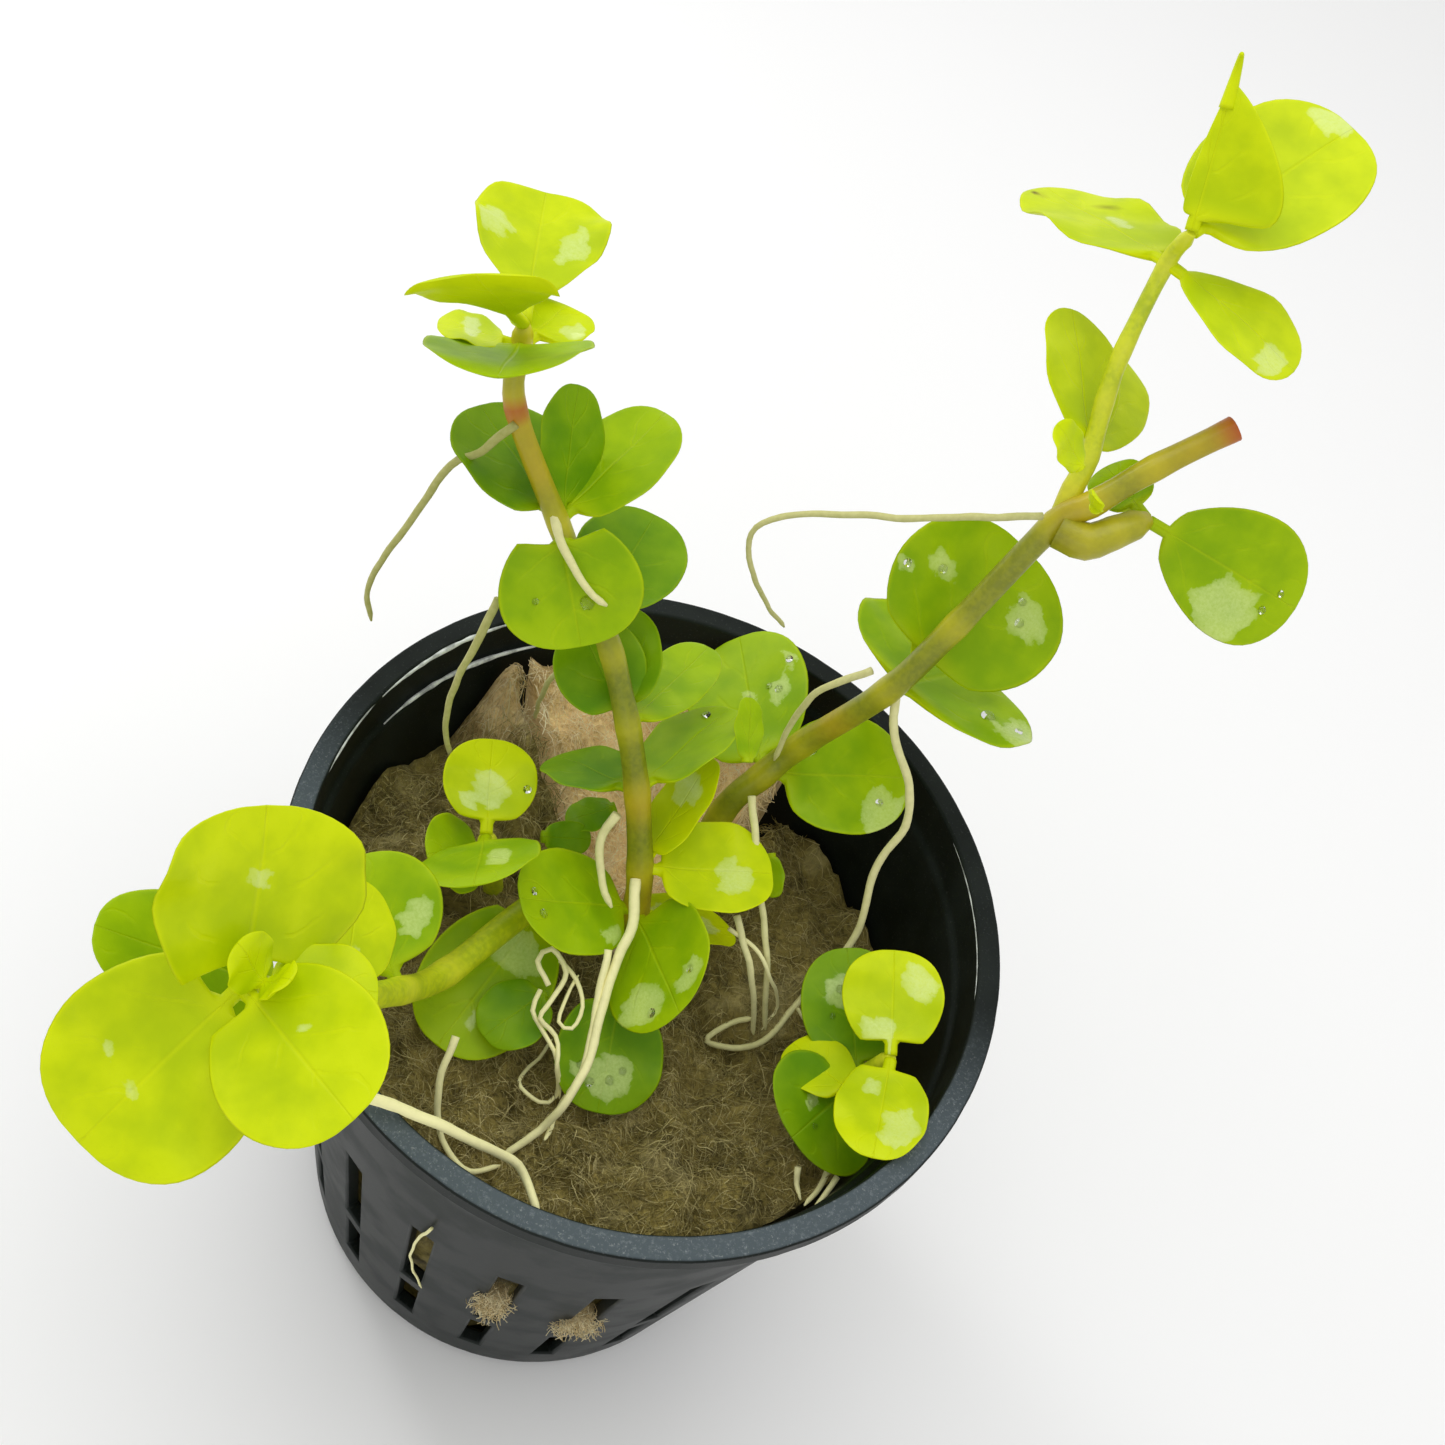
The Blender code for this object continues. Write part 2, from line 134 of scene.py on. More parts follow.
world = bpy.data.worlds.new("studio")
world.use_nodes = True
world.node_tree.nodes["Background"].inputs["Color"].default_value = (*SKY, 1)
world.node_tree.nodes["Background"].inputs["Strength"].default_value = SKY_STRENGTH
bpy.context.scene.world = world
bpy.context.scene.view_settings.view_transform = "Standard"
print(len(SOFT_BOXES), "soft boxes")

# %% [markdown]
# ## Writing shaders as sums
# A finish is mostly arithmetic on masks. Nodes can be placed one by one, but a formula reads
# better: Wire holds one output and turns +, - and * into Math nodes, and Finish holds one
# material and adds every other node through a single method.

# %% Wires
class Wire:
    """One output of a node. Arithmetic on it adds Math nodes."""

    def __init__(self, finish, socket):
        self.finish = finish
        self.socket = socket

    def math(self, operation, *values):
        sockets = dict(enumerate(values))
        return self.finish.node("ShaderNodeMath", {"operation": operation}, sockets)

    def __add__(self, other):
        return self.math("ADD", self, other)

    def __sub__(self, other):
        return self.math("SUBTRACT", self, other)

    def __rsub__(self, other):
        return self.math("SUBTRACT", other, self)

    def __mul__(self, other):
        return self.math("MULTIPLY", self, other)

    __radd__ = __add__
    __rmul__ = __mul__

    def sine(self):
        return self.math("SINE", self)

    def size(self):
        return self.math("ABSOLUTE", self)

    def rise(self, low, high):
        """0 below low, 1 above high, with an eased step between."""
        return self.finish.node("ShaderNodeMapRange", {"interpolation_type": "SMOOTHSTEP"},
                                {"Value": self, "From Min": low, "From Max": high})


# %% Finishes
class Finish:
    """One material and its nodes."""

    def __init__(self, name, **constants):
        self.material = bpy.data.materials.new(name)
        self.material.use_nodes = True
        self.nodes = self.material.node_tree.nodes
        self.links = self.material.node_tree.links
        self.surface = self.nodes["Principled BSDF"]
        for socket, value in constants.items():
            self.surface.inputs[socket.replace("_", " ")].default_value = value

    def node(self, kind, settings, sockets, output=0):
        made = self.nodes.new(kind)
        for setting, value in settings.items():
            setattr(made, setting, value)
        for socket, value in sockets.items():
            self.plug(made.inputs[socket], value)
        return Wire(self, made.outputs[output])

    def plug(self, socket, value):
        if isinstance(value, Wire):
            self.links.new(value.socket, socket)
        elif isinstance(value, tuple) and len(socket.default_value) == 4:
            socket.default_value = (*value, 1.0)
        else:
            socket.default_value = value

    def mark(self, name):
        """A number stored on the mesh's points."""
        return self.node("ShaderNodeAttribute", {"attribute_name": name}, {}, "Fac")

    def place(self):
        return self.node("ShaderNodeTexCoord", {}, {}, "Object")

    def axis(self, vector, letter):
        return self.node("ShaderNodeSeparateXYZ", {}, {0: vector}, letter)

    def cloud(self, grain, detail=3.0, where=None, rough=0.5):
        """Noise from 0 to 1 whose grain is in millimetres."""
        sockets = {"Vector": where or self.place(), "Scale": 1 / (grain * MM), "Detail": detail,
                   "Roughness": rough}
        return self.node("ShaderNodeTexNoise", {}, sockets, "Fac")

    def mix(self, share, a, b):
        return self.node("ShaderNodeMix", {"data_type": "RGBA"}, {0: share, 6: a, 7: b}, 2)

    def bump(self, height, depth, strength=1.0):
        """Relief whose depth is in millimetres."""
        sockets = {"Height": height, "Distance": depth * MM, "Strength": strength}
        return self.node("ShaderNodeBump", {}, sockets, "Normal")

    def set(self, **inputs):
        for socket, value in inputs.items():
            self.plug(self.surface.inputs[socket.replace("_", " ")], value)
        return self.material


floor_finish = Finish("pale_floor", Roughness=0.9)
floor_mesh.materials.append(floor_finish.set(Base_Color=FLOOR_TONE))
print("floor finish", floor_finish.material.name)

# %% [markdown]
# ## Pot plastic
# Black injection-moulded plastic, wet on the inside. It could be one flat black, but the real rim
# is scuffed grey by handling and the wall is faintly blotched where water dried. Faces that look up
# at the front of the rim are painted lighter grey, a painted reflection of the light above; fine
# noise adds scuffs there and dulls the gloss, which is where a rim wears.

# %% Pot plastic
plastic = Finish("pot_plastic", IOR=1.45, Specular_IOR_Level=0.14)
facing = plastic.node("ShaderNodeNewGeometry", {}, {}, "Normal")
spot = plastic.place()
on_top = plastic.axis(spot, "Z").rise(49.2 * MM, 49.8 * MM)
towards_back = plastic.axis(spot, "Y").rise(-9 * MM, 5 * MM)
# Faces that look up at the front of the rim: painted reflection of the overhead light, and where the rim
# wears.
lit_and_worn_top = plastic.axis(facing, "Z").rise(0.75, 0.98) * on_top * (1 - towards_back)
near_edge = plastic.mark("edge")
scuffs = plastic.cloud(0.3, 6.0, rough=0.75).rise(0.5, 0.68)
patches = plastic.cloud(5.0, 3.0).rise(0.4, 0.65)
specks = plastic.cloud(0.16, 2.0).rise(0.64, 0.7)
body_tone = plastic.mix(patches, (0.0065, 0.0095, 0.008), (0.012, 0.016, 0.014))
# The lighter grey of lit_tone is the painted reflection on the rim's front top.
lit_tone = plastic.mix(lit_and_worn_top, body_tone, (0.075, 0.095, 0.105))
worn_tone = plastic.mix(lit_and_worn_top * scuffs * (0.05 + 0.22 * near_edge), lit_tone, (0.34, 0.38, 0.4))
speck_tone = plastic.mix(specks * (0.03 + 0.2 * lit_and_worn_top * near_edge), worn_tone, (0.5, 0.53, 0.52))
plastic.set(
    Base_Color=speck_tone,
    Roughness=0.42 + lit_and_worn_top * 0.15 + patches * 0.1,
    Normal=plastic.bump(scuffs * lit_and_worn_top + specks * 0.5 + patches * 0.3, 0.025, 0.5),
)
print("pot plastic with", len(plastic.nodes), "nodes")

# %% [markdown]
# ## Rockwool
# Spun mineral fibre, torn by hand: tan and dry where it stands clear, dark olive where it is wet.
# A bump on a plain lump reads as soil, so the lumps get real fibres too. Both share a tone that is
# stored on the mesh for each fibre, so that no two neighbours match.

# %% Rockwool finish
WOOL_TONES = {
    "wet": ((0.075, 0.06, 0.012), (0.34, 0.27, 0.075), (0.72, 0.62, 0.28)),
    "dry": ((0.46, 0.30, 0.10), (0.92, 0.70, 0.34), (0.98, 0.88, 0.58)),
}


def wool_finish(state):
    # The emission in the wool's own colour, stronger on the dry lump, is a painted glow that brightens it
    # where the leaves shade it.
    wool = Finish(f"rockwool_{state}", Specular_IOR_Level=0.25 if state == "wet" else 0.1,
                  Emission_Strength=0.05 if state == "wet" else 0.16)
    dry = wool.mark("dry")
    pairs = zip(WOOL_TONES[state], WOOL_TONES["dry"])
    dark, middle, pale = (wool.mix(dry, wet, dried) for wet, dried in pairs)
    lumps = wool.cloud(3.2, 4.0, rough=0.65)
    strands = wool.cloud(0.45, 6.0, rough=0.75)
    shade = wool.mark("shade")
    depth = wool.mark("depth")
    ground = wool.mix((lumps * 0.5 + strands * 0.5).rise(0.34, 0.58), dark, middle)
    faded_patches = wool.cloud(4.5, 2.0).rise(0.56, 0.7) * 0.35
    faded = wool.mix(faded_patches + strands.rise(0.6, 0.75) * 0.3, ground, pale)
    # Painted shade: the deeper a spot lies in a tear or hollow, the darker it is painted.
    painted_tear_shade = wool.mix(depth * 0.85, wool.mix(shade, faded, pale), dark)
    wool.set(
        Base_Color=painted_tear_shade,
        Emission_Color=painted_tear_shade,
        Roughness=(0.5 if state == "wet" else 0.9) + strands * 0.1,
        Normal=wool.bump(strands + lumps, 0.35, 0.9),
    )
    return wool.material


wool_materials = {state: wool_finish(state) for state in WOOL_TONES}
print("rockwool finishes", sorted(wool_materials))

# %% [markdown]
# ## Leaves
# A creeping jenny leaf is thin, wet and golden: yellow-green when young, deeper green lower down,
# paler underneath, with a pale midrib and faint side veins. Light also passes through it, and a
# little glow in the leaf's own colour stands for that. The blade stores how far along (0 at the
# stem) and across (-1 to 1) each point is. The veins and the margin are drawn from those two
# numbers, and the brown spots and the wet films are stored beside them. The films are painted sheen:
# pale patches where the wet blade mirrors the light, with a glossier coat.

# %% Leaf finish
LEAF_TONES = {
    "young": ((0.38, 0.50, 0.0), (0.54, 0.64, 0.0), (0.64, 0.70, 0.0)),
    "green": ((0.19, 0.34, 0.0), (0.31, 0.46, 0.0), (0.46, 0.56, 0.0)),
    "dark": ((0.10, 0.24, 0.0), (0.19, 0.34, 0.0), (0.33, 0.46, 0.0)),
}
GLOW = {"young": 0.12, "green": 0.10, "dark": 0.08}
SIDE_VEINS = 3.0
# The pale tone of the painted sheen where a wet blade mirrors the light.
PAINTED_SHEEN_TONE = (0.60, 0.72, 0.26)
SPOT_TONE = (0.10, 0.05, 0.004)


def leaf_finish(tone):
    deep, fresh, pale = LEAF_TONES[tone]
    leaf = Finish(f"leaf_{tone}", Specular_IOR_Level=0.12, Coat_Roughness=0.08, Coat_IOR=1.33,
                  Emission_Strength=GLOW[tone])
    along = leaf.mark("along")
    across = leaf.mark("across").size()
    under = leaf.mark("under")
    film = leaf.mark("film")
    mottle = leaf.cloud(2.6, 3.0)
    cells = leaf.cloud(0.22, 4.0, rough=0.7)
    rib = 1 - (across + along * 0.02).rise(0.01, 0.05)
    wave = ((along - across * 0.5) * (2 * pi * SIDE_VEINS) + mottle * 4.0).sine()
    side_veins = wave.rise(0.9, 1.0) * (1 - across.rise(0.5, 0.85)) * mottle.rise(0.4, 0.6)
    margin = across.rise(0.93, 1.0)
    flesh = leaf.mix((mottle * 0.7 + along * 0.3).rise(0.3, 0.75), deep, fresh)
    grained = leaf.mix((cells - 0.5).size().rise(0.08, 0.25) * 0.22, flesh, deep)
    veined = leaf.mix(rib * 0.22 + side_veins * 0.12, grained, pale)
    edged = leaf.mix(margin * 0.4 + (1 - along.rise(0.0, 0.16)) * 0.45, veined, pale)
    underside = leaf.mix(under * 0.3, edged, pale)
    # Painted sheen: patches painted pale where the wet blade mirrors the light, with a glossier coat.
    torn = (film * 1.1 + (leaf.cloud(0.7, 4.0, rough=0.65) - 0.5) * 1.6).rise(0.5, 0.7)
    with_painted_sheen = leaf.mix(torn * film * (0.15 + 0.7 * cells), underside, PAINTED_SHEEN_TONE)
    finished = leaf.mix(leaf.mark("spot"), with_painted_sheen, SPOT_TONE)
    leaf.set(
        Base_Color=finished,
        Emission_Color=finished,
        Roughness=0.42 + under * 0.12 - film * 0.2 + cells * 0.06,
        Coat_Weight=0.05 + torn * film * 0.7 + mottle.rise(0.55, 0.75) * 0.15,
        Normal=leaf.bump(cells * 0.3 + mottle * 0.9 - rib - side_veins * 0.6 + film * 0.4, 0.07, 0.6),
    )
    return leaf.material


leaf_materials = {tone: leaf_finish(tone) for tone in LEAF_TONES}
print("leaf finishes", sorted(leaf_materials))

# %% [markdown]
# ## Stems, roots and water
# The stems are olive with yellow rings at their nodes, turn amber in places, and one ends in a
# reddish brown cut. The roots that hang from the nodes are cream where they are fresh and olive
# where they are old. Water stays on the leaves in small beads: clear, with nothing but its shape
# and gloss to show it.

# %% Stem finish
STEM_TONES = {
    "olive": ((0.145, 0.175, 0.003), (0.22, 0.245, 0.004), (0.58, 0.52, 0.008)),
    "young": ((0.36, 0.46, 0.002), (0.52, 0.60, 0.004), (0.72, 0.72, 0.03)),
}
AMBER = (0.52, 0.36, 0.008)
CUT_TONE = (0.42, 0.085, 0.008)


def stem_finish(tone):
    deep, fresh, joint_tone = STEM_TONES[tone]
    # The emission in the stem's own colour is a painted glow.
    stem = Finish(f"stem_{tone}", Specular_IOR_Level=0.4, Coat_Weight=0.15, Coat_Roughness=0.15,
                  Emission_Strength=0.06)
    joint = stem.mark("joint")
    streaks = stem.cloud(0.4, 4.0)
    blotches = stem.cloud(2.4, 3.0)
    skin_tone = stem.mix((blotches * 0.5 + streaks * 0.5).rise(0.38, 0.62), deep, fresh)
    ringed = stem.mix(joint * 0.45 + stem.mark("fresher") * 0.55, skin_tone, joint_tone)
    amber = stem.mix(stem.mark("amber") * (0.3 + 0.5 * blotches), ringed, AMBER)
    scarred = stem.mix(stem.mark("cut"), amber, CUT_TONE)
    stem.set(
        Base_Color=scarred,
        Emission_Color=scarred,
        Roughness=0.38 + streaks * 0.18,
        Normal=stem.bump(streaks + blotches * 0.5, 0.05, 0.6),
    )
    return stem.material


stem_materials = {tone: stem_finish(tone) for tone in STEM_TONES}
print("stem finishes", sorted(stem_materials))

# %% Root finish
# The emission in the root's own colour is a painted glow.
roots = Finish("aerial_root", Specular_IOR_Level=0.3, Emission_Strength=0.08)
fuzz = roots.cloud(0.4, 4.0)
root_tone = roots.mix(roots.mark("age") + (fuzz - 0.5) * 0.4, (0.84, 0.80, 0.42), (0.34, 0.34, 0.09))
roots.set(Base_Color=root_tone, Emission_Color=root_tone, Roughness=0.5 + fuzz * 0.2,
          Normal=roots.bump(fuzz, 0.04, 0.6))
root_material = roots.material
print("root finish with", len(roots.nodes), "nodes")

# %% Water
water = Finish("water_bead", Roughness=0.02, IOR=1.33, Transmission_Weight=1.0)
water_material = water.set(Base_Color=(1.0, 1.0, 1.0))
print("water", water_material.name)

# %% [markdown]
# ## Collecting points into pieces
# Every piece is built from lists of points and faces in millimetres. Maker gathers them with the
# numbers that the finishes read, then turns them into one object that rides on the model's body
# and, where it dresses a solid, stands for it.

# %% Maker
class Maker:
    """Points, faces and the numbers stored on the points of one piece."""

    def __init__(self):
        self.points = []
        self.faces = []
        self.marks = {}

    def point(self, position, **marks):
        self.points.append(tuple(v * MM for v in position))
        for name, value in marks.items():
            self.marks.setdefault(name, {})[len(self.points) - 1] = value
        return len(self.points) - 1

    def bridge(self, lower, upper, closed=True):
        count = len(lower)
        for i in range(count if closed else count - 1):
            j = (i + 1) % count
            self.faces.append((lower[i], lower[j], upper[j], upper[i]))

    def ends(self, rings):
        self.faces += [tuple(rings[0]), tuple(rings[-1])]

    def fan(self, loop, tip):
        for a, b in zip(loop, loop[1:]):
            self.faces.append((a, b, tip))

    def piece(self, name, material, slot, node=None, sharp=None):
        mesh = bpy.data.meshes.new(name)
        mesh.from_pydata(self.points, [], self.faces)
        for mark, values in self.marks.items():
            layer = mesh.attributes.new(mark, "FLOAT", "POINT")
            layer.data.foreach_set("value", [values.get(i, 0.0) for i in range(len(self.points))])
        shape = bmesh.new()
        shape.from_mesh(mesh)
        bmesh.ops.recalc_face_normals(shape, faces=shape.faces)
        shape.to_mesh(mesh)
        shape.free()
        mesh.shade_smooth()
        if sharp:
            mesh.set_sharp_from_angle(angle=radians(sharp))
        mesh.materials.append(material)
        made = put(name, mesh)
        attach(made, "root")
        if node:
            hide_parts(node)
        return made


def turn(bearing, radius, level):
    return Vector((radius * cos(radians(bearing)), radius * sin(radians(bearing)), level))


def blend(a, b, share):
    return a + (b - a) * share


def within(value):
    """The value, kept between 0 and 1."""
    return min(1.0, max(0.0, value))


# %% [markdown]
# ## Net pot
# One moulded cup: a flat rim with a small step under its bore, a tapered wall with two tiers of
# narrow slots, and a rounded foot. It could be cut with Booleans, but every edge follows one
# outline turned round the axis, so the rings are built directly, the slot cells are left open and
# lined, and a narrow bevel catches the light along the edges as moulded plastic does.

# %% Pot sizes
POT_HEIGHT = 50.0
RIM_RADIUS = 26.0
RIM_THICKNESS = 1.6
RIM_BORE = 24.3
BORE_DRAFT = 0.3
NECK_RADIUS = 24.9
STEP_DEPTH = 3.2
STEP_SLOPE = 0.4
FOOT_RADIUS = 17.0
BASE_RADIUS = 19.0
BASE_ROUNDING = 2.2
FOOT_ARC = (20, 40, 60, 80)
WALL = 1.2
FLOOR = 1.6
SLOT_COUNT = 20
SLOT_PHASE = -9.4
SLOT_WIDTH = 4.8
UPPER_SLOT = (16.5, 31.5)
LOWER_SLOT = (6.0, 14.5)
CELLS_PER_SLOT = 8
EDGE_BEVEL = 0.22
BEVEL_STEPS = 3
BEVEL_FROM = 35
SHARP_FROM = 60


def wall_radius(level):
    share = (level - BASE_ROUNDING) / (POT_HEIGHT - RIM_THICKNESS - BASE_ROUNDING)
    return BASE_RADIUS + (NECK_RADIUS - BASE_RADIUS) * share


# %% Pot outline
pitch = 360 / SLOT_COUNT
bearings = []
for slot in range(SLOT_COUNT):
    middle = SLOT_PHASE + slot * pitch
    bar = pitch - SLOT_WIDTH
    bearings.append(middle - SLOT_WIDTH / 2)
    bearings += [middle + SLOT_WIDTH / 2 + bar * i / (CELLS_PER_SLOT - 1)
                 for i in range(CELLS_PER_SLOT - 1)]

step_level = POT_HEIGHT - STEP_DEPTH
lip = POT_HEIGHT - RIM_THICKNESS
slot_levels = [*LOWER_SLOT, *UPPER_SLOT]
foot_arc = [(BASE_RADIUS - BASE_ROUNDING * (1 - sin(radians(a))), BASE_ROUNDING * (1 - cos(radians(a))))
            for a in FOOT_ARC]
outline = [(FOOT_RADIUS, 0), *foot_arc]
outline += [(wall_radius(z), z) for z in slot_levels]
outline += [(NECK_RADIUS, lip), (RIM_RADIUS, lip), (RIM_RADIUS, POT_HEIGHT), (RIM_BORE, POT_HEIGHT),
            (RIM_BORE - BORE_DRAFT, step_level), (wall_radius(step_level) - WALL, step_level - STEP_SLOPE)]
outline += [(wall_radius(z) - WALL, z) for z in reversed(slot_levels)]
outline += [(BASE_RADIUS - WALL, FLOOR)]
print(len(bearings), "bearings round,", len(outline), "rings")

# %% Pot mesh
pot = Maker()
rings = [[pot.point(turn(bearing, radius, level), edge=1.0 if level == POT_HEIGHT else 0.0)
          for bearing in bearings] for radius, level in outline]
outer_first = 1 + len(foot_arc)
inner_last = len(outline) - 2
tiers = [(outer_first, inner_last), (outer_first + 2, inner_last - 2)]
open_rows = {row for outer, inner in tiers for row in (outer, inner - 1)}
for row, (lower, upper) in enumerate(zip(rings, rings[1:])):
    for i in range(len(bearings)):
        if row in open_rows and i % CELLS_PER_SLOT == 0:
            continue
        j = (i + 1) % len(bearings)
        pot.faces.append((lower[i], lower[j], upper[j], upper[i]))
for outer, inner in tiers:
    for i in range(0, len(bearings), CELLS_PER_SLOT):
        frame_out = [rings[outer][i], rings[outer][i + 1], rings[outer + 1][i + 1], rings[outer + 1][i]]
        frame_in = [rings[inner][i], rings[inner][i + 1], rings[inner - 1][i + 1], rings[inner - 1][i]]
        pot.bridge(frame_out, frame_in)
pot.ends(rings)
pot_piece = pot.piece("moulded_net_pot", plastic.material, "pot", "net_pot")
bevel = pot_piece.modifiers.new("edges", "BEVEL")
bevel.width = EDGE_BEVEL * MM
bevel.segments = BEVEL_STEPS
bevel.limit_method = "ANGLE"
bevel.angle_limit = radians(BEVEL_FROM)
pot_piece.data.set_sharp_from_angle(angle=radians(SHARP_FROM))
print("pot", len(pot.points), "points")

# %% [markdown]
# ## Rockwool lumps
# Each torn piece is a wedge of the pot, from the floor up to a ragged top. The top follows the same
# slope and lumps as the solid, with finer tears on it, and shade is painted into the tears, darker with
# depth.

# %% Rockwool lumps
WOOL_FLOOR = 1.9
WALL_CLEARANCE = 0.45
APEX_OFFSET = 0.4
LUMP_HEIGHT = 2.6
LUMP_SIZE = 6.0
PIT_SIZE = 2.5
# Each lump: first and last bearing, how far its corner stands back, its height at the wall and in
# the middle, a seed, and its state.
WOOL = {
    "front": (-165, -22, 0.0, 43.0, 39.5, 1.0, "wet"),
    "right": (-20, 72, 0.6, 36.0, 38.0, 2.0, "wet"),
    "back": (74, 138, 0.6, 45.0, 40.0, 3.0, "dry"),
    "left": (140, 193, 0.6, 42.0, 41.0, 4.0, "wet"),
}
TEAR_SIZES = ((1.6, 0.8), (0.7, 0.45), (0.35, 0.22))
TEAR_SHADE_FROM = 0.12
TEAR_SHADE = 1.3
# Tufts pulled up by hand: spot, height and width.
TUFTS = ((-20.5, 8.0, -4.0, 4.0), (-17.5, 12.9, 4.2, 2.4), (-12.5, 14.0, 2.4, 4.0),
         (-7.5, 12.0, 1.6, 3.0), (6.5, -20.0, 0.9, 2.4), (12.0, 7.0, 1.6, 2.6),
         (-17.0, -1.0, 1.5, 3.5))
DRY_SPOT = (-17.0, 13.0)
DRY_REACH = 2.6
COLUMN_STEP = 1.6
TOP_ROWS = 34
WALL_ROWS = 24
HOLLOW_DEPTH = 0.9
HOLLOW_SIZE = 3.0


def rough(x, y, z, grain):
    return noise.noise(Vector((x, y, z)) / grain)


def wool_top(x, y, lump):
    """Height of the torn top of one lump above a spot, and how deep in a tear the spot is, which sets the
    painted shade there.
    """
    _, _, _, wall_level, core_level, seed, _ = WOOL[lump]
    share = min(sqrt(x * x + y * y) / RIM_BORE, 1.0)
    level = core_level + (wall_level - core_level) * share ** 2
    level += LUMP_HEIGHT * (noise.noise(Vector((x / LUMP_SIZE, y / LUMP_SIZE, seed)))
                            + 0.5 * noise.noise(Vector((x / PIT_SIZE, y / PIT_SIZE, seed))))
    for at_x, at_y, lift, wide in TUFTS:
        level += lift * exp(-((x - at_x) ** 2 + (y - at_y) ** 2) / wide ** 2)
    tear = sum(depth * rough(x, y, 9 * seed, grain) for grain, depth in TEAR_SIZES)
    return level + tear, within(-TEAR_SHADE_FROM - TEAR_SHADE * tear)


def dryness(x, y):
    """The tan top runs on past its own lump at the back left."""
    away = sqrt((x - DRY_SPOT[0]) ** 2 + (y - DRY_SPOT[1]) ** 2)
    return within(1.6 - away / DRY_REACH)


def bearing_of(x, y):
    return atan2(y, x) * 180 / pi


def lump_at(x, y):
    """The lump under a spot."""
    bearing = bearing_of(x, y)
    for lump, (start, stop, *_) in WOOL.items():
        middle = (start + stop) / 2
        if abs((bearing - middle + 180) % 360 - 180) <= (stop - start) / 2 + 1:
            return lump
    return "front"


def wool_level(x, y):
    return wool_top(x, y, lump_at(x, y))[0]


# %% Rockwool meshes
def rockwool(lump):
    start, stop, stand_back, wall_level, _, _, state = WOOL[lump]
    point = turn((start + stop) / 2, stand_back + APEX_OFFSET, 0)
    columns = round((stop - start) / COLUMN_STEP)
    spread = [start + (stop - start) * i / columns for i in range(columns + 1)]
    shares = [(i / TOP_ROWS) ** 0.8 for i in range(1, TOP_ROWS + 1)]
    wool = Maker()

    def spot(bearing, share, level):
        reach = wall_radius(level) - WALL - WALL_CLEARANCE - point.length
        return point + turn(bearing, reach * share, level)

    def torn(bearing, share):
        flat = spot(bearing, share, wall_level)
        level, depth = wool_top(flat.x, flat.y, lump)
        return wool.point((flat.x, flat.y, level), depth=depth, dry=dryness(flat.x, flat.y))

    def side_point(bearing, share_down):
        flat = spot(bearing, 1.0, wall_level)
        level = blend(wool_top(flat.x, flat.y, lump)[0], WOOL_FLOOR, share_down)
        hollow = max(0.0, rough(flat.x, flat.y, level, HOLLOW_SIZE) + 0.3)
        inward = HOLLOW_DEPTH * hollow * min(1.0, share_down * 8)
        place = spot(bearing, 1.0, level)
        # Hollows in the side get painted shade by their depth.
        return wool.point(place - turn(bearing, inward, 0), depth=min(1.0, inward))

    tip = point.copy()
    tip.z = wool_top(tip.x, tip.y, lump)[0]
    top_point = wool.point(tip)
    top = [[torn(bearing, share) for bearing in spread] for share in shares]
    wall = [[side_point(bearing, i / WALL_ROWS) for bearing in spread] for i in range(1, WALL_ROWS + 1)]
    low_point = wool.point((tip.x, tip.y, WOOL_FLOOR))
    wool.fan(top[0], top_point)
    rows = [*top, *wall]
    for inner, outer in zip(rows, rows[1:]):
        wool.bridge(inner, outer, closed=False)
    wool.faces.append((low_point, *rows[-1]))
    for end in (0, -1):
        wool.faces.append((low_point, top_point, *(row[end] for row in rows)))
    made = wool.piece(f"torn_rockwool_{lump}", wool_materials[state], f"rockwool_{state}", f"rockwool_{lump}")
    return len(made.data.vertices)


print("rockwool points", {lump: rockwool(lump) for lump in WOOL})

# %% [markdown]
# ## Loose fibres
# The fuzz on torn rockwool is what tells it from soil. Hair particles would be lost when the model
# is exported, so each fibre is a three-sided tube less than a tenth of a millimetre thick, laid
# along the lump's own surface with its middle raised a little. The fibres of a lump are one mesh.

# %% Fibre tubes
def tube(maker, route, radii, sides, **marks):
    """A tube along a route that doesn't twist. Each mark is one number, or one for each ring."""
    across = (route[1] - route[0]).orthogonal()
    last = len(route) - 1
    rings = []
    for i, centre in enumerate(route):
        along = (route[min(i + 1, last)] - route[max(i - 1, 0)]).normalized()
        across = (across - along * across.dot(along)).normalized()
        other = along.cross(across)
        here = {name: value[i] if isinstance(value, list) else value for name, value in marks.items()}
        ring = []
        for side in range(sides):
            angle = 2 * pi * side / sides
            ring.append(maker.point(centre + radii[i] * (cos(angle) * across + sin(angle) * other), **here))
        rings.append(ring)
    for lower, upper in zip(rings, rings[1:]):
        maker.bridge(lower, upper)
    maker.ends(rings)
    return rings


# %% Fibre spread
FIBRES = {"front": 9000, "right": 3200, "back": 4200, "left": 3000}
FIBRE_LENGTHS = (0.6, 3.0)
FIBRE_RADIUS = (0.018, 0.04)
FIBRE_BEND = 70
FIBRE_LOFT = 2.2
FIBRE_PIECES = 4


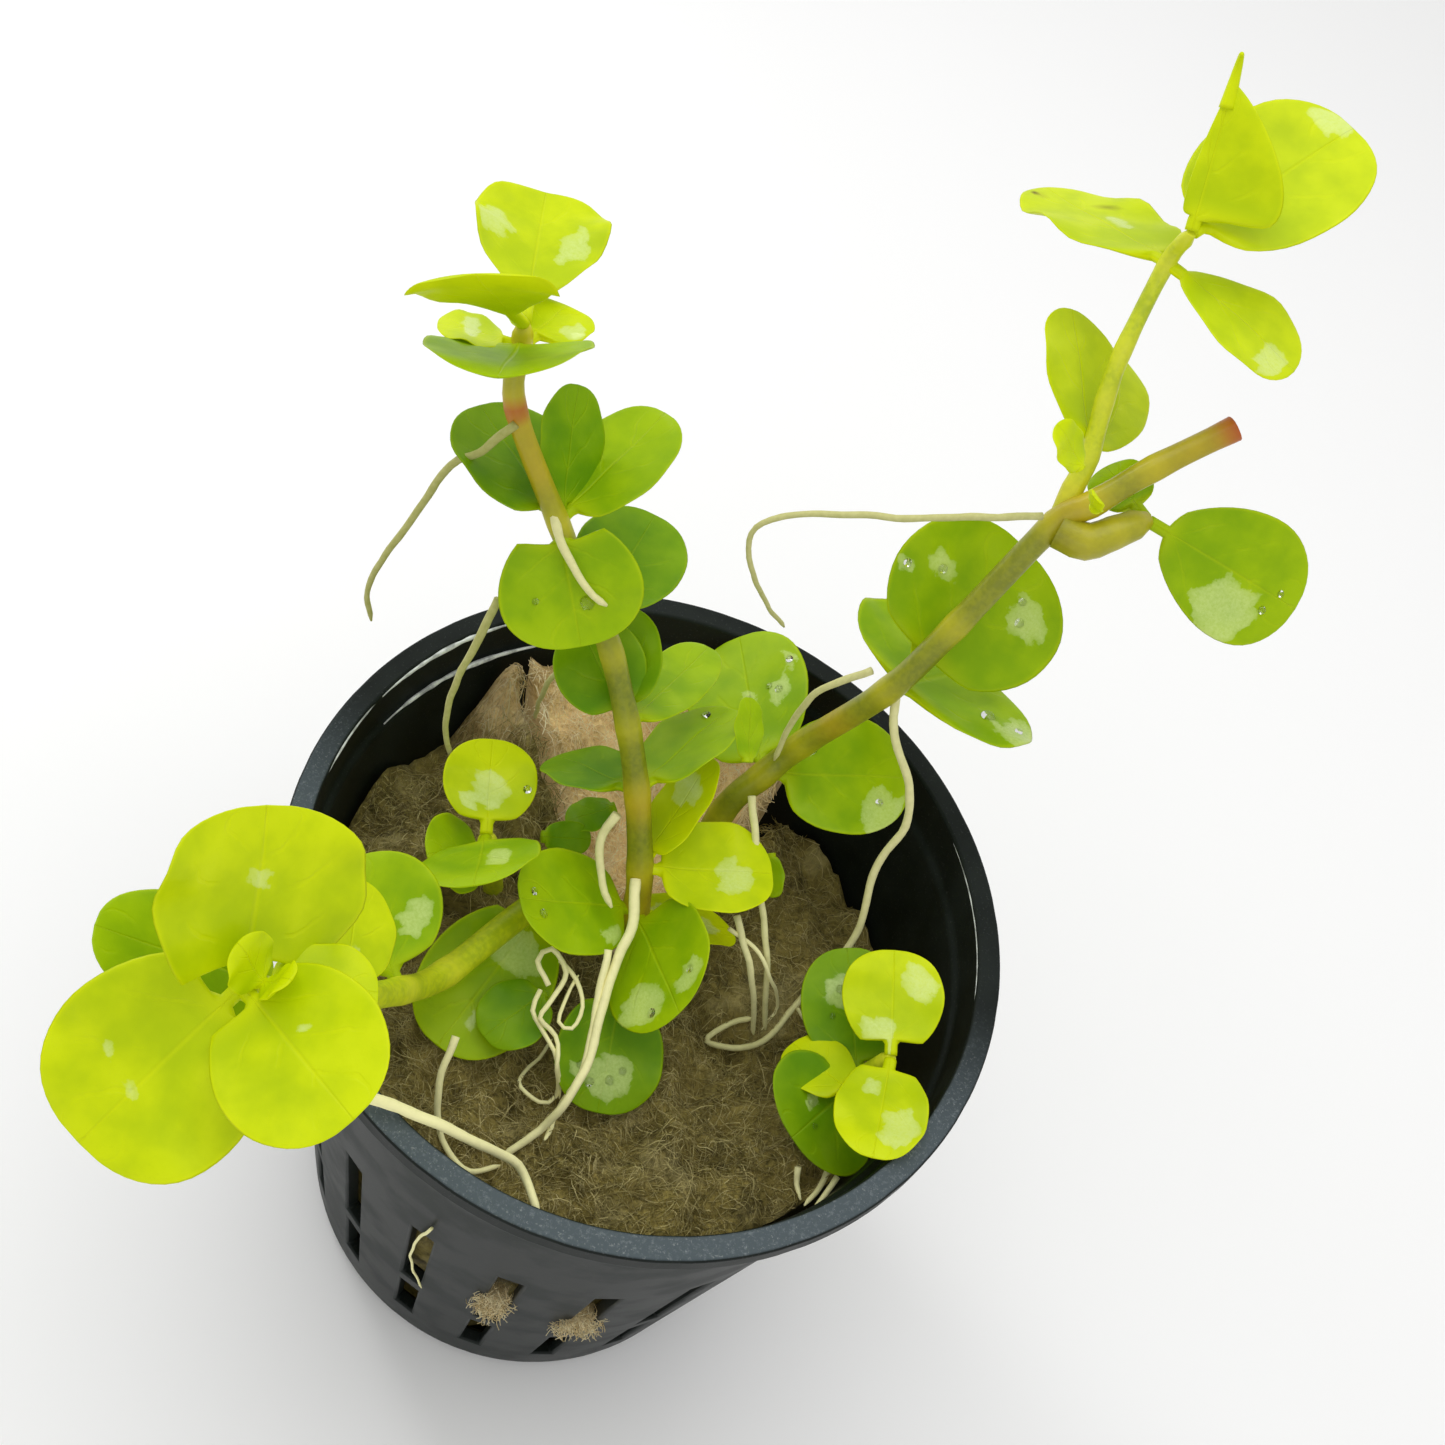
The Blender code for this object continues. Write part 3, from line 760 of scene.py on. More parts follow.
def fibres(lump):
    start, stop, _, wall_level, _, _, state = WOOL[lump]
    chance = random.Random(f"fibres {lump}")
    fuzz = Maker()
    reach = wall_radius(wall_level) - WALL - 0.6
    for _ in range(FIBRES[lump]):
        bearing = chance.uniform(start, stop)
        centre = turn(bearing, reach * sqrt(chance.uniform(0.002, 1)), 0)
        heading = chance.uniform(0, 360)
        bend = chance.uniform(-FIBRE_BEND, FIBRE_BEND)
        length = chance.uniform(*FIBRE_LENGTHS) * chance.uniform(0.5, 1)
        loft = chance.uniform(0.0, 0.5) ** 2 * FIBRE_LOFT
        flat = centre - turn(heading, length / 2, 0)
        route = []
        for i in range(FIBRE_PIECES + 1):
            level = wool_top(flat.x, flat.y, lump)[0] + loft * sin(pi * i / FIBRE_PIECES) + 0.02
            if flat.xy.length > reach:
                break
            route.append(Vector((flat.x, flat.y, level)))
            flat = flat + turn(heading + bend * i / FIBRE_PIECES, length / FIBRE_PIECES, 0)
        if len(route) < 3:
            continue
        radius = chance.uniform(*FIBRE_RADIUS)
        tone = chance.random() ** 2.2
        tube(fuzz, route, [radius] * len(route), 3, shade=tone, dry=dryness(flat.x, flat.y))
    made = fuzz.piece(f"fibres_{lump}", wool_materials[state], f"rockwool_{state}")
    return len(made.data.polygons)


print("fibre faces", {lump: fibres(lump) for lump in WOOL})

# %% [markdown]
# ## Stems
# Square-edged, fleshy and swollen at each node. The route runs through the same nodes as the solid,
# joined by a smooth curve. A plain tube would look like wire, so its section has four soft corners
# and its radius swells at the nodes. The marks say how near a node is, how fresh the growth is,
# and where the skin is amber or cut.

# %% Stem routes
# Each stem: radius at its foot and at its tip, tone, and nodes in millimetres.
STEMS = {
    "tall": (1.0, 0.6, "olive", [
        (1.5, -1.5, 36), (-0.5, 0, 46.5), (-1.5, 1, 50), (-4, 3, 55.5), (-6.5, 4.5, 60),
        (-9.5, 6, 64.5), (-11.5, 6.5, 67), (-16, 7.5, 72.5), (-21, 8.5, 79.5), (-22, 10, 83),
        (-22.3, 10.3, 84.5)]),
    "right": (1.0, 0.8, "olive", [
        (1.5, 7.5, 36), (2, 10.5, 47), (3.5, 12.5, 51), (5, 14, 54.5), (8.5, 15.5, 62.5),
        (10.5, 18, 69), (13, 22, 78), (14.5, 23, 80), (17, 25.5, 83), (20.5, 29, 86)]),
    "right_upper": (0.75, 0.5, "young", [
        (13, 23.9, 79.7), (13, 25.3, 81.5), (12.2, 27.6, 84.5), (11.7, 29.5, 87.5), (11.5, 32.2, 93),
        (11.8, 31.9, 95.9)]),
    "right_side": (1.25, 0.9, "olive", [(15.3, 21.5, 78.2), (16.7, 22.6, 79), (18.3, 24.3, 79.7)]),
    "left": (1.0, 0.75, "young", [
        (-3, -0.5, 36), (-6.3, -1.6, 45), (-10, -12, 48), (-11.5, -17, 53), (-13.5, -23, 61),
        (-15, -27, 67.5), (-16.5, -30.5, 73.5)]),
    "centre": (0.8, 0.6, "young", [(-10, 1, 34), (-11.5, -2, 47.5), (-12, -3, 51)]),
    "sprout": (0.8, 0.6, "young", [(18, -5, 32), (18.7, -4, 40), (19, -3, 44.5), (20, -2.5, 48.5)]),
}
# Where the two side growths start, inside the stem that they fork from.
FORK = {"right_upper": (13.1, 22.4, 78.3), "right_side": (13.4, 21.6, 78.0)}
CUT_STEM = "right"
# Where the stems turn amber: spot and reach. The scar is where a leaf pair was lost.
AMBER_SPOTS = (((-20.5, 8.4, 78.8), 2.4), ((-18.5, 8.0, 76.0), 2.2), ((19.0, 27.5, 84.8), 4.5),
               ((14.0, 22.8, 79.3), 1.8), ((6.5, 15.0, 58.0), 1.6), ((-0.8, 0.5, 48.0), 2.4),
               ((-3.8, 2.8, 55.0), 1.6))
SCAR = (-20.9, 8.5, 79.3)
SCAR_REACH = 0.55
CUT_REACH = 1.3
TIP_WIDTH = 0.55
TIP_GROWTH = 0.2
STEM_STEP = 0.7
STEM_SIDES = 16
CORNER = 0.03
NODE_SWELL = 0.1
NODE_REACH = 1.1
STEM_SHARP = 70


def smooth_route(nodes, spacing):
    """Catmull-Rom points through the nodes, each with its place counted in nodes."""
    path = [Vector(node) for node in nodes]
    path = [2 * path[0] - path[1], *path, 2 * path[-1] - path[-2]]
    points = []
    for span in range(len(path) - 3):
        a, b, c, d = path[span:span + 4]
        pieces = max(1, round((c - b).length / spacing))
        for piece in range(pieces):
            t = piece / pieces
            curve = 0.5 * (2 * b + (c - a) * t + (2 * a - 5 * b + 4 * c - d) * t * t
                           + (3 * b - a - 3 * c + d) * t * t * t)
            points.append((curve, span + t))
    return [*points, (path[-2], len(path) - 3.0)]


# %% Stem meshes
def nearness(point, spot, reach):
    """1 at a spot, falling off over its reach."""
    return exp(-((point - Vector(spot)).length / reach) ** 2)


def stem(name):
    root_radius, tip_radius, tone, nodes = STEMS[name]
    if name in FORK:
        nodes = [FORK[name], *nodes]
    route = smooth_route(nodes, STEM_STEP)
    places = [Vector(node) for node in nodes]
    tube_maker = Maker()
    points = [point for point, _ in route]
    radii, joints, fresher, cuts, ambers = [], [], [], [], []
    for point, count in route:
        share = count / (len(nodes) - 1)
        nearest = min((point - place).length for place in places[1:])
        joint = exp(-(nearest / NODE_REACH) ** 2)
        radii.append(blend(root_radius, tip_radius, share) * (1 + NODE_SWELL * joint))
        joints.append(joint)
        fresher.append(max(0.0, share - 0.5) * 1.9 if name == "tall" else share * 0.3)
        ambers.append(min(1.0, sum(nearness(point, spot, reach) for spot, reach in AMBER_SPOTS)))
        scar = nearness(point, SCAR, SCAR_REACH) if name == "tall" else 0.0
        cuts.append(nearness(point, nodes[-1], CUT_REACH) if name == CUT_STEM else scar)
    if name != CUT_STEM:
        radii[-1] *= TIP_WIDTH
        points[-1] = points[-1] + (points[-1] - points[-2]) * TIP_GROWTH
    rings = tube(tube_maker, points, radii, STEM_SIDES, joint=joints, fresher=fresher, cut=cuts, amber=ambers)
    for ring, centre in zip(rings, points):
        for side, index in enumerate(ring):
            swell = 1 + CORNER * cos(4 * 2 * pi * side / STEM_SIDES)
            spot = Vector(tube_maker.points[index])
            tube_maker.points[index] = tuple(centre * MM + (spot - centre * MM) * swell)
    tube_maker.piece(f"fleshy_stem_{name}", stem_materials[tone], f"stem_{tone}", f"stem_{name}", STEM_SHARP)
    return len(rings)


print("stem rings", {name: stem(name) for name in STEMS})

# %% [markdown]
# ## Leaves
# Opposite pairs of nearly round blades on short stalks. Each blade is a grid bent by a few rules:
# an outline with a small notch at the stalk, a fold along the midrib, a cup across, a curl along
# and a ripple at the margin. The direction, size and stem of each leaf are those of its solid.

# %% Leaf table
# Each group: its stem, then a row for each leaf with its node, heading, rise, roll, length, width
# and tone. Angles are in degrees and sizes in millimetres.
LEAF_GROUPS = {
    "tall": ("tall", [
        (10, 109, -2, 0, 12.8, 8.8, "young"), (10, -106, 52, 38, 10, 10, "young"),
        (9, -161, 4, 27, 5.3, 6.2, "young"), (9, 76, 8, -18, 4.5, 6.5, "young"),
        (9, -80, 34, 17, 10.5, 10, "green"), (7, 153, 12, 17, 9.5, 10, "dark"),
        (7, 114, 38, 37, 9, 5.9, "dark"), (7, 75, 17, -16, 10.8, 7, "green"),
        (6, 90, -1, 0, 10.2, 7.7, "dark"), (7, -44, -34, 21, 8.2, 9.4, "green"),
        (4, 150, 24, -20, 7.6, 6.4, "dark"), (4, 125, 15, -37, 8.5, 6.6, "dark"),
        (4, 80, -18, -8, 13.3, 5, "green"), (3, 71, 9, -42, 9.7, 7.8, "green"),
        (3, 162, -28, 18, 7.8, 7.1, "dark"), (2, 81, 35, -44, 9.4, 5.5, "young"),
        (2, 25, 6, -8, 9.6, 8.1, "young"), (1, 39, -34, -19, 11, 5.3, "young"),
        (1, -53, 21, 54, 10.5, 9.6, "green"), (1, -139, 27, -7, 11, 8, "green"),
        (1, -73, -20, -8, 14.4, 8, "dark")]),
    "right": ("right", [
        (2, 119, -4, -38, 13.2, 9.9, "green"), (2, 27, 5, 13, 11.1, 9.3, "green"),
        (4, 52, -10, -14, 9, 17.5, "green"), (4, 68, 37, 25, 14, 13.5, "green")]),
    "side": ("right_side", [(2, 2, -8, 46, 12.2, 9, "green"), (2, 129, -12, -32, 5.8, 4.3, "green")]),
    "upper": ("right_upper", [
        (1, 123, 23, 21, 10.5, 7.5, "young"), (1, 95, -5, 20, 13.2, 7.8, "young"),
        (4, 134, -23, 1, 14, 9.6, "young"), (4, -15, -3, 0, 10.5, 7.2, "young"),
        (5, 60, 16, 3, 14, 10, "young"), (5, 110, 52, -22, 9.4, 9.8, "young")]),
    "left": ("left", [
        (3, 148, 20, -15, 9, 10, "green"), (4, 111, 6, 37, 7.6, 6.6, "young"),
        (6, 114, 40, 39, 9.4, 13.5, "young"), (5, -158, 26, -7, 11.9, 6.6, "green"),
        (6, -110, -24, -17, 10.9, 11.2, "young"), (6, -28, 16, 21, 10.2, 9, "young"),
        (5, -107, -13, 17, 12.1, 9, "young")]),
    "base": ("left", [(1, -100, -12, -6, 13.2, 9.2, "green")]),
    "centre": ("centre", [
        (2, 116, 20, 0, 7, 6.7, "young"), (2, -77, 34, 27, 7.7, 8.6, "green"),
        (1, -131, 29, -14, 6.1, 5.9, "green")]),
    "sprout": ("sprout", [
        (3, 112, 15, -15, 7.6, 7.2, "young"), (3, -84, 12, 15, 8.6, 6.4, "young"),
        (2, 120, 16, -15, 9.4, 7.4, "dark"), (2, -114, 2, -17, 7.1, 9.4, "dark")]),
}
LEAVES = {}
for group, (stem_name, rows) in LEAF_GROUPS.items():
    for number, row in enumerate(rows, 1):
        LEAVES[group if len(rows) == 1 else f"{group}_{number}"] = (stem_name, *row)
# Leaves that stand off from their stem on a longer stalk.
LONG_PETIOLES = {"tall_1": 2.5, "tall_2": 2.0, "tall_21": 5.5, "base": 1.5, "right_4": 2.5}
print(len(LEAVES), "leaves")

# %% Leaf shape
PETIOLE_WIDTH = 0.9
PETIOLE = 0.4
BLADE_THICKNESS = 0.36
STALK_THICKNESS = 0.75
SKIN = 0.2
STALK_ROWS = 4
BLADE_ROWS = 22
COLUMNS = 15
# How a plain blade is bent: a cup across, a fold along the midrib, a curl along it, a ripple of the
# margin, a notch at the stalk, horns where the far edge is cut straight, the share of its width
# that the far half keeps when the blade is folded shut, and where it is widest as a share of its
# length, with how blunt its outline is (lower is blunter).
PLAIN_FORM = {"cup": 0.1, "fold": 0.0, "curl": 0.0, "ripple": 0.12, "notch": 0.05, "horns": 0.0,
              "far_half": 1.0, "shape": (0.5, 0.42)}
# What sets single leaves apart from it.
FORMS = {
    "tall_1": {"shape": (0.6, 0.45), "cup": 0.15, "ripple": 0.5, "fold": 0.12, "notch": 0.1},
    "tall_2": {"shape": (0.74, 0.5), "cup": -0.15, "horns": 0.6, "ripple": 0.3},
    "tall_5": {"fold": 0.15, "notch": 0.12}, "tall_10": {"fold": 0.12, "notch": 0.15},
    "tall_17": {"fold": 0.08}, "right_3": {"notch": 0.02, "ripple": 0.2}, "right_4": {"fold": 0.08},
    "side_1": {"shape": (0.6, 0.45), "fold": -0.1, "curl": -0.12}, "upper_1": {"shape": (0.55, 0.5)},
    "upper_2": {"shape": (0.6, 0.5)}, "upper_3": {"shape": (0.5, 0.55), "ripple": 0.4},
    "upper_4": {"shape": (0.64, 0.5), "curl": -0.08}, "upper_5": {"fold": 0.05, "curl": 0.06},
    "upper_6": {"shape": (0.2, 0.8), "far_half": 0.2},
    "left_3": {"ripple": 0.3, "notch": 0.16, "fold": 0.04},
    "left_5": {"ripple": 0.25, "notch": 0.16, "fold": 0.06}, "left_6": {"notch": 0.14},
    "left_7": {"ripple": 0.3}, "base": {"notch": 0.12}, "sprout_1": {"notch": 0.12, "ripple": 0.2},
    "sprout_2": {"notch": 0.12, "ripple": 0.25},
}
# Painted sheen on wet blades: pale patches where a blade mirrors the light, with a glossier coat.
# Along, across, length and width of each, as shares of the blade.
SHEEN_FILMS = {
    "tall_1": [(0.51, 0.69, 0.16, 0.24), (0.44, -0.55, 0.18, 0.26)], "tall_3": [(0.5, -0.13, 0.15, 0.6)],
    "tall_4": [(0.43, -0.66, 0.2, 0.3)], "left_1": [(0.32, -0.59, 0.14, 0.27)],
    "left_3": [(0.52, -0.05, 0.08, 0.11)], "left_5": [(0.58, -0.51, 0.05, 0.09), (0.62, 0.07, 0.06, 0.11)],
    "left_6": [(0.34, 0.18, 0.05, 0.08)], "left_7": [(0.55, 0.99, 0.05, 0.16)],
    "left_2": [(0.2, -0.14, 0.1, 0.25)], "base": [(0.18, 0.06, 0.14, 0.58), (0.73, 0.18, 0.04, 0.1)],
    "tall_21": [(0.7, 0.12, 0.22, 0.47), (0.67, -0.48, 0.1, 0.23)],
    "right_1": [(0.45, -0.5, 0.11, 0.24), (0.64, -0.79, 0.08, 0.15), (0.46, 0.01, 0.06, 0.13)],
    "right_2": [(0.74, -0.72, 0.19, 0.44), (0.23, 0.53, 0.05, 0.11)], "tall_16": [(0.64, 0.1, 0.15, 0.6)],
    "tall_17": [(0.65, -0.17, 0.16, 0.42)], "tall_18": [(0.35, -0.05, 0.48, 0.6)],
    "tall_19": [(0.69, -0.61, 0.19, 0.42), (0.79, 0.47, 0.1, 0.39)], "tall_20": [(0.18, 0.69, 0.1, 0.23)],
    "right_4": [(0.51, 0.53, 0.09, 0.13), (0.65, -0.55, 0.13, 0.29), (0.36, 0.87, 0.06, 0.11)],
    "right_3": [(0.61, -0.88, 0.22, 0.19), (0.49, -0.56, 0.08, 0.07)],
    "side_1": [(0.58, -0.55, 0.21, 0.53)], "upper_4": [(0.84, -0.35, 0.1, 0.6)],
    "upper_5": [(0.96, 0.39, 0.11, 0.54)], "upper_3": [(0.43, -0.24, 0.1, 0.19)],
    "sprout_1": [(0.63, -0.54, 0.22, 0.4), (0.11, 0.34, 0.15, 0.5)],
    "sprout_2": [(0.64, 0.47, 0.24, 0.45), (0.26, -0.35, 0.11, 0.23)],
    "sprout_3": [(0.63, 0.21, 0.14, 0.32)], "sprout_4": [(0.5, -0.24, 0.12, 0.11)],
    "centre_1": [(0.37, -0.02, 0.24, 0.43), (0.22, 0.5, 0.12, 0.25)],
    "centre_2": [(0.48, 0.33, 0.25, 0.17)],
}
# Brown spots on old blades: along, across and radius in millimetres.
SPOTS = {
    "upper_3": [(0.62, -0.5, 0.25), (0.8, -0.3, 0.2), (0.9, 0.35, 0.3), (0.5, -0.75, 0.15),
                (0.3, 0.5, 0.12)],
    "right_3": [(0.47, -0.62, 0.35), (0.55, 0.2, 0.14), (0.4, 0.5, 0.12), (0.6, -0.2, 0.12)],
    "right_4": [(0.7, 0.1, 0.12), (0.3, -0.4, 0.12)],
    "side_1": [(0.5, 0.3, 0.14), (0.75, 0.1, 0.12), (0.35, 0.1, 0.1)],
}


def leaf_height(y, s, reach, width, form, wander):
    """Height of the blade's middle surface above its flat outline."""
    out = abs(y) / (width / 2)
    return (2 * form["cup"] * y * y / width
            + form["fold"] * (sqrt(y * y + 0.2) - sqrt(0.2))
            + form["curl"] * reach * s * s
            + form["ripple"] * out ** 2 * sin(2 * pi * (2.2 * s + wander) + (2 if y > 0 else 0))
            + 0.1 * sin(2 * pi * (1.3 * s + wander)) * s)


def sheen_film_at(spots, s, t):
    """1 inside a patch of painted sheen on a wet film, 0 outside, with a torn edge."""
    strongest = 0.0
    for at_s, at_t, long, wide in spots:
        away = sqrt(((s - at_s) / long) ** 2 + ((t - at_t) / wide) ** 2)
        away += 0.35 * noise.noise(Vector((s * 7, t * 4, at_s * 9)))
        strongest = max(strongest, within((1.15 - away) / 0.3))
    return strongest


def spot_at(spots, x, y):
    """1 inside a brown spot, 0 outside, with a soft edge."""
    return max((within(1.6 - sqrt((x - at_x) ** 2 + (y - at_y) ** 2) / size)
                for at_x, at_y, size in spots), default=0.0)


def half_width(s, form, width):
    """Half the blade's width at a share of its length."""
    widest, fullness = form["shape"]
    u = s ** (log(0.5) / log(widest))
    oval = (4 * u * (1 - u)) ** fullness
    return width / 2 * blend(oval, 0.12 + 0.88 * s ** 0.9, form["horns"])


# %% Leaf mesh
def leaf_grid(blade, length, width, form, sheen_films, spots, wander):
    maker = Maker()
    rows = []
    reach = length - blade
    stalk = [(SKIN + (blade - SKIN) * i / STALK_ROWS, 0.0) for i in range(STALK_ROWS)]
    shares = [0.004 + 0.988 * (0.5 - 0.5 * cos(pi * i / BLADE_ROWS)) for i in range(BLADE_ROWS + 1)]
    for x, s in [*stalk, *((blade + reach * s, s) for s in shares)]:
        half = max(PETIOLE_WIDTH / 2 * (1 - s), half_width(s, form, width) if s else 0.0)
        thick = blend(STALK_THICKNESS, BLADE_THICKNESS, min(1.0, s * 6))
        upper, lower = [], []
        for column in range(COLUMNS):
            t = -cos(pi * column / (COLUMNS - 1))
            y = t * half * (form["far_half"] if t > 0 and s else 1.0)
            back = form["notch"] * width * abs(t) ** 1.5 * (1 - s) ** 4 * min(1.0, s * 12)
            z = leaf_height(y, s, reach, width, form, wander) if s else 0.0
            lift = thick / 2 * sqrt(max(0.0, 1 - t * t)) * (1 - 0.6 * s ** 6)
            marks = {"along": s, "across": t, "spot": spot_at(spots, x, y)}
            upper.append(maker.point((x - back, y, z + lift), film=sheen_film_at(sheen_films, s, t), **marks))
            if 0 < column < COLUMNS - 1:
                lower.append(maker.point((x - back, y, z - lift), under=1.0, **marks))
        rows.append((upper, [upper[0], *lower, upper[-1]]))
    for (upper, lower), (next_upper, next_lower) in zip(rows, rows[1:]):
        maker.bridge(upper, next_upper, closed=False)
        maker.bridge(lower, next_lower, closed=False)
    end = leaf_height(0, 1, reach, width, form, wander)
    tip = maker.point((length, 0, end), along=1.0)
    maker.fan(rows[-1][0], tip)
    maker.fan(rows[-1][1], tip)
    first_upper, first_lower = rows[0]
    maker.faces.append((*first_upper, *first_lower[-2:0:-1]))
    return maker


def place_leaf(maker, place, heading, rise, roll):
    axes = (Matrix.Rotation(radians(heading), 3, "Z") @ Matrix.Rotation(radians(-rise), 3, "Y")
            @ Matrix.Rotation(radians(roll), 3, "X"))
    maker.points = [tuple(place * MM + axes @ Vector(point)) for point in maker.points]
    return axes


# %% Leaves on their stems
leaf_frames = {}


def node_frame(stem_name, node):
    """Place and radius of a stem at one of its nodes."""
    root_radius, tip_radius, _, nodes = STEMS[stem_name]
    return Vector(nodes[node]), blend(root_radius, tip_radius, node / (len(nodes) - 1))


def leaf(name):
    stem_name, node, heading, rise, roll, length, width, tone = LEAVES[name]
    place, radius = node_frame(stem_name, node)
    blade = radius + SKIN + LONG_PETIOLES.get(name, PETIOLE)
    form = {**PLAIN_FORM, **FORMS.get(name, {})}
    wander = random.Random(f"ripple {name}").random()
    spots = [(blade + (length - blade) * s, t * width * 0.45, size) for s, t, size in SPOTS.get(name, ())]
    maker = leaf_grid(blade, length, width, form, SHEEN_FILMS.get(name, ()), spots, wander)
    axes = place_leaf(maker, place, heading, rise, roll)
    leaf_frames[name] = (place, axes, blade, length, width, form, wander)
    maker.piece(f"golden_leaf_{name}", leaf_materials[tone], f"leaf_{tone}", f"leaf_{name}")


for name in LEAVES:
    leaf(name)
print("points in a leaf", (STALK_ROWS + BLADE_ROWS + 1) * (2 * COLUMNS - 2) + 1)

# %% [markdown]
# ## Small leaves and buds
# Between the full leaves stand scraps, edge-on leaves and the buds at the tips. They are too small
# to be solids of their own, and use the same blade at their own spots.

# %% Small leaves and buds
SMALL_LEAVES = {
    "axil_blade": ((2.0, 7.5, 58), 118, 27, 20, 4.8, 2.5, "green"),
    "edge_on_blade": ((-1.5, 10.5, 51), -128, -13, 65, 4.8, 4.0, "green"),
    "shaded_blade": ((-5, 5.5, 49), -137, -16, 10, 4.0, 3.0, "dark"),
    "sliver": ((6.5, 10, 46), -56, -19, 40, 3.5, 2.0, "green"),
    "under_base_blade": ((-3.5, -8.0, 44.6), -116, -8, 0, 5.5, 5.0, "dark"),
    "centre_sliver": ((-9, 0.5, 48.5), 32, -8, 30, 4.0, 2.5, "dark"),
    "fork_bud": ((12.5, 21.0, 84.0), 171, 38, 0, 3.6, 3.5, "young"),
    "sprout_low_blade": ((18.5, -5.0, 46.0), 154, -18, 0, 5.6, 5.0, "young"),
    "fork_nub": ((14.5, 20.5, 82), -130, 62, 0, 2.0, 1.6, "young"),
    "left_bud": ((-15.6, -30.2, 74.0), 174, 58, 0, 3.2, 3.4, "young"),
    "left_bud_pair": ((-15.4, -30.2, 74.0), -6, 62, 0, 2.8, 2.6, "young"),
    "left_axil": ((-15.6, -30.0, 72.6), 28, 5, 0, 6.0, 5.5, "young"),
}
for name, (place, heading, rise, roll, length, width, tone) in SMALL_LEAVES.items():
    maker = leaf_grid(PETIOLE, length, width, PLAIN_FORM, (), (), 0.3)
    place_leaf(maker, Vector(place), heading, rise, roll)
    maker.piece(name, leaf_materials[tone], f"leaf_{tone}")
print(len(SMALL_LEAVES), "small leaves")

# %% [markdown]
# ## Roots
# Thin threads grow from the nodes, hang, and lie down on the rockwool. Each follows a few given
# points. A point with two numbers lies on the rockwool, so its height comes from the torn
# surface under it.

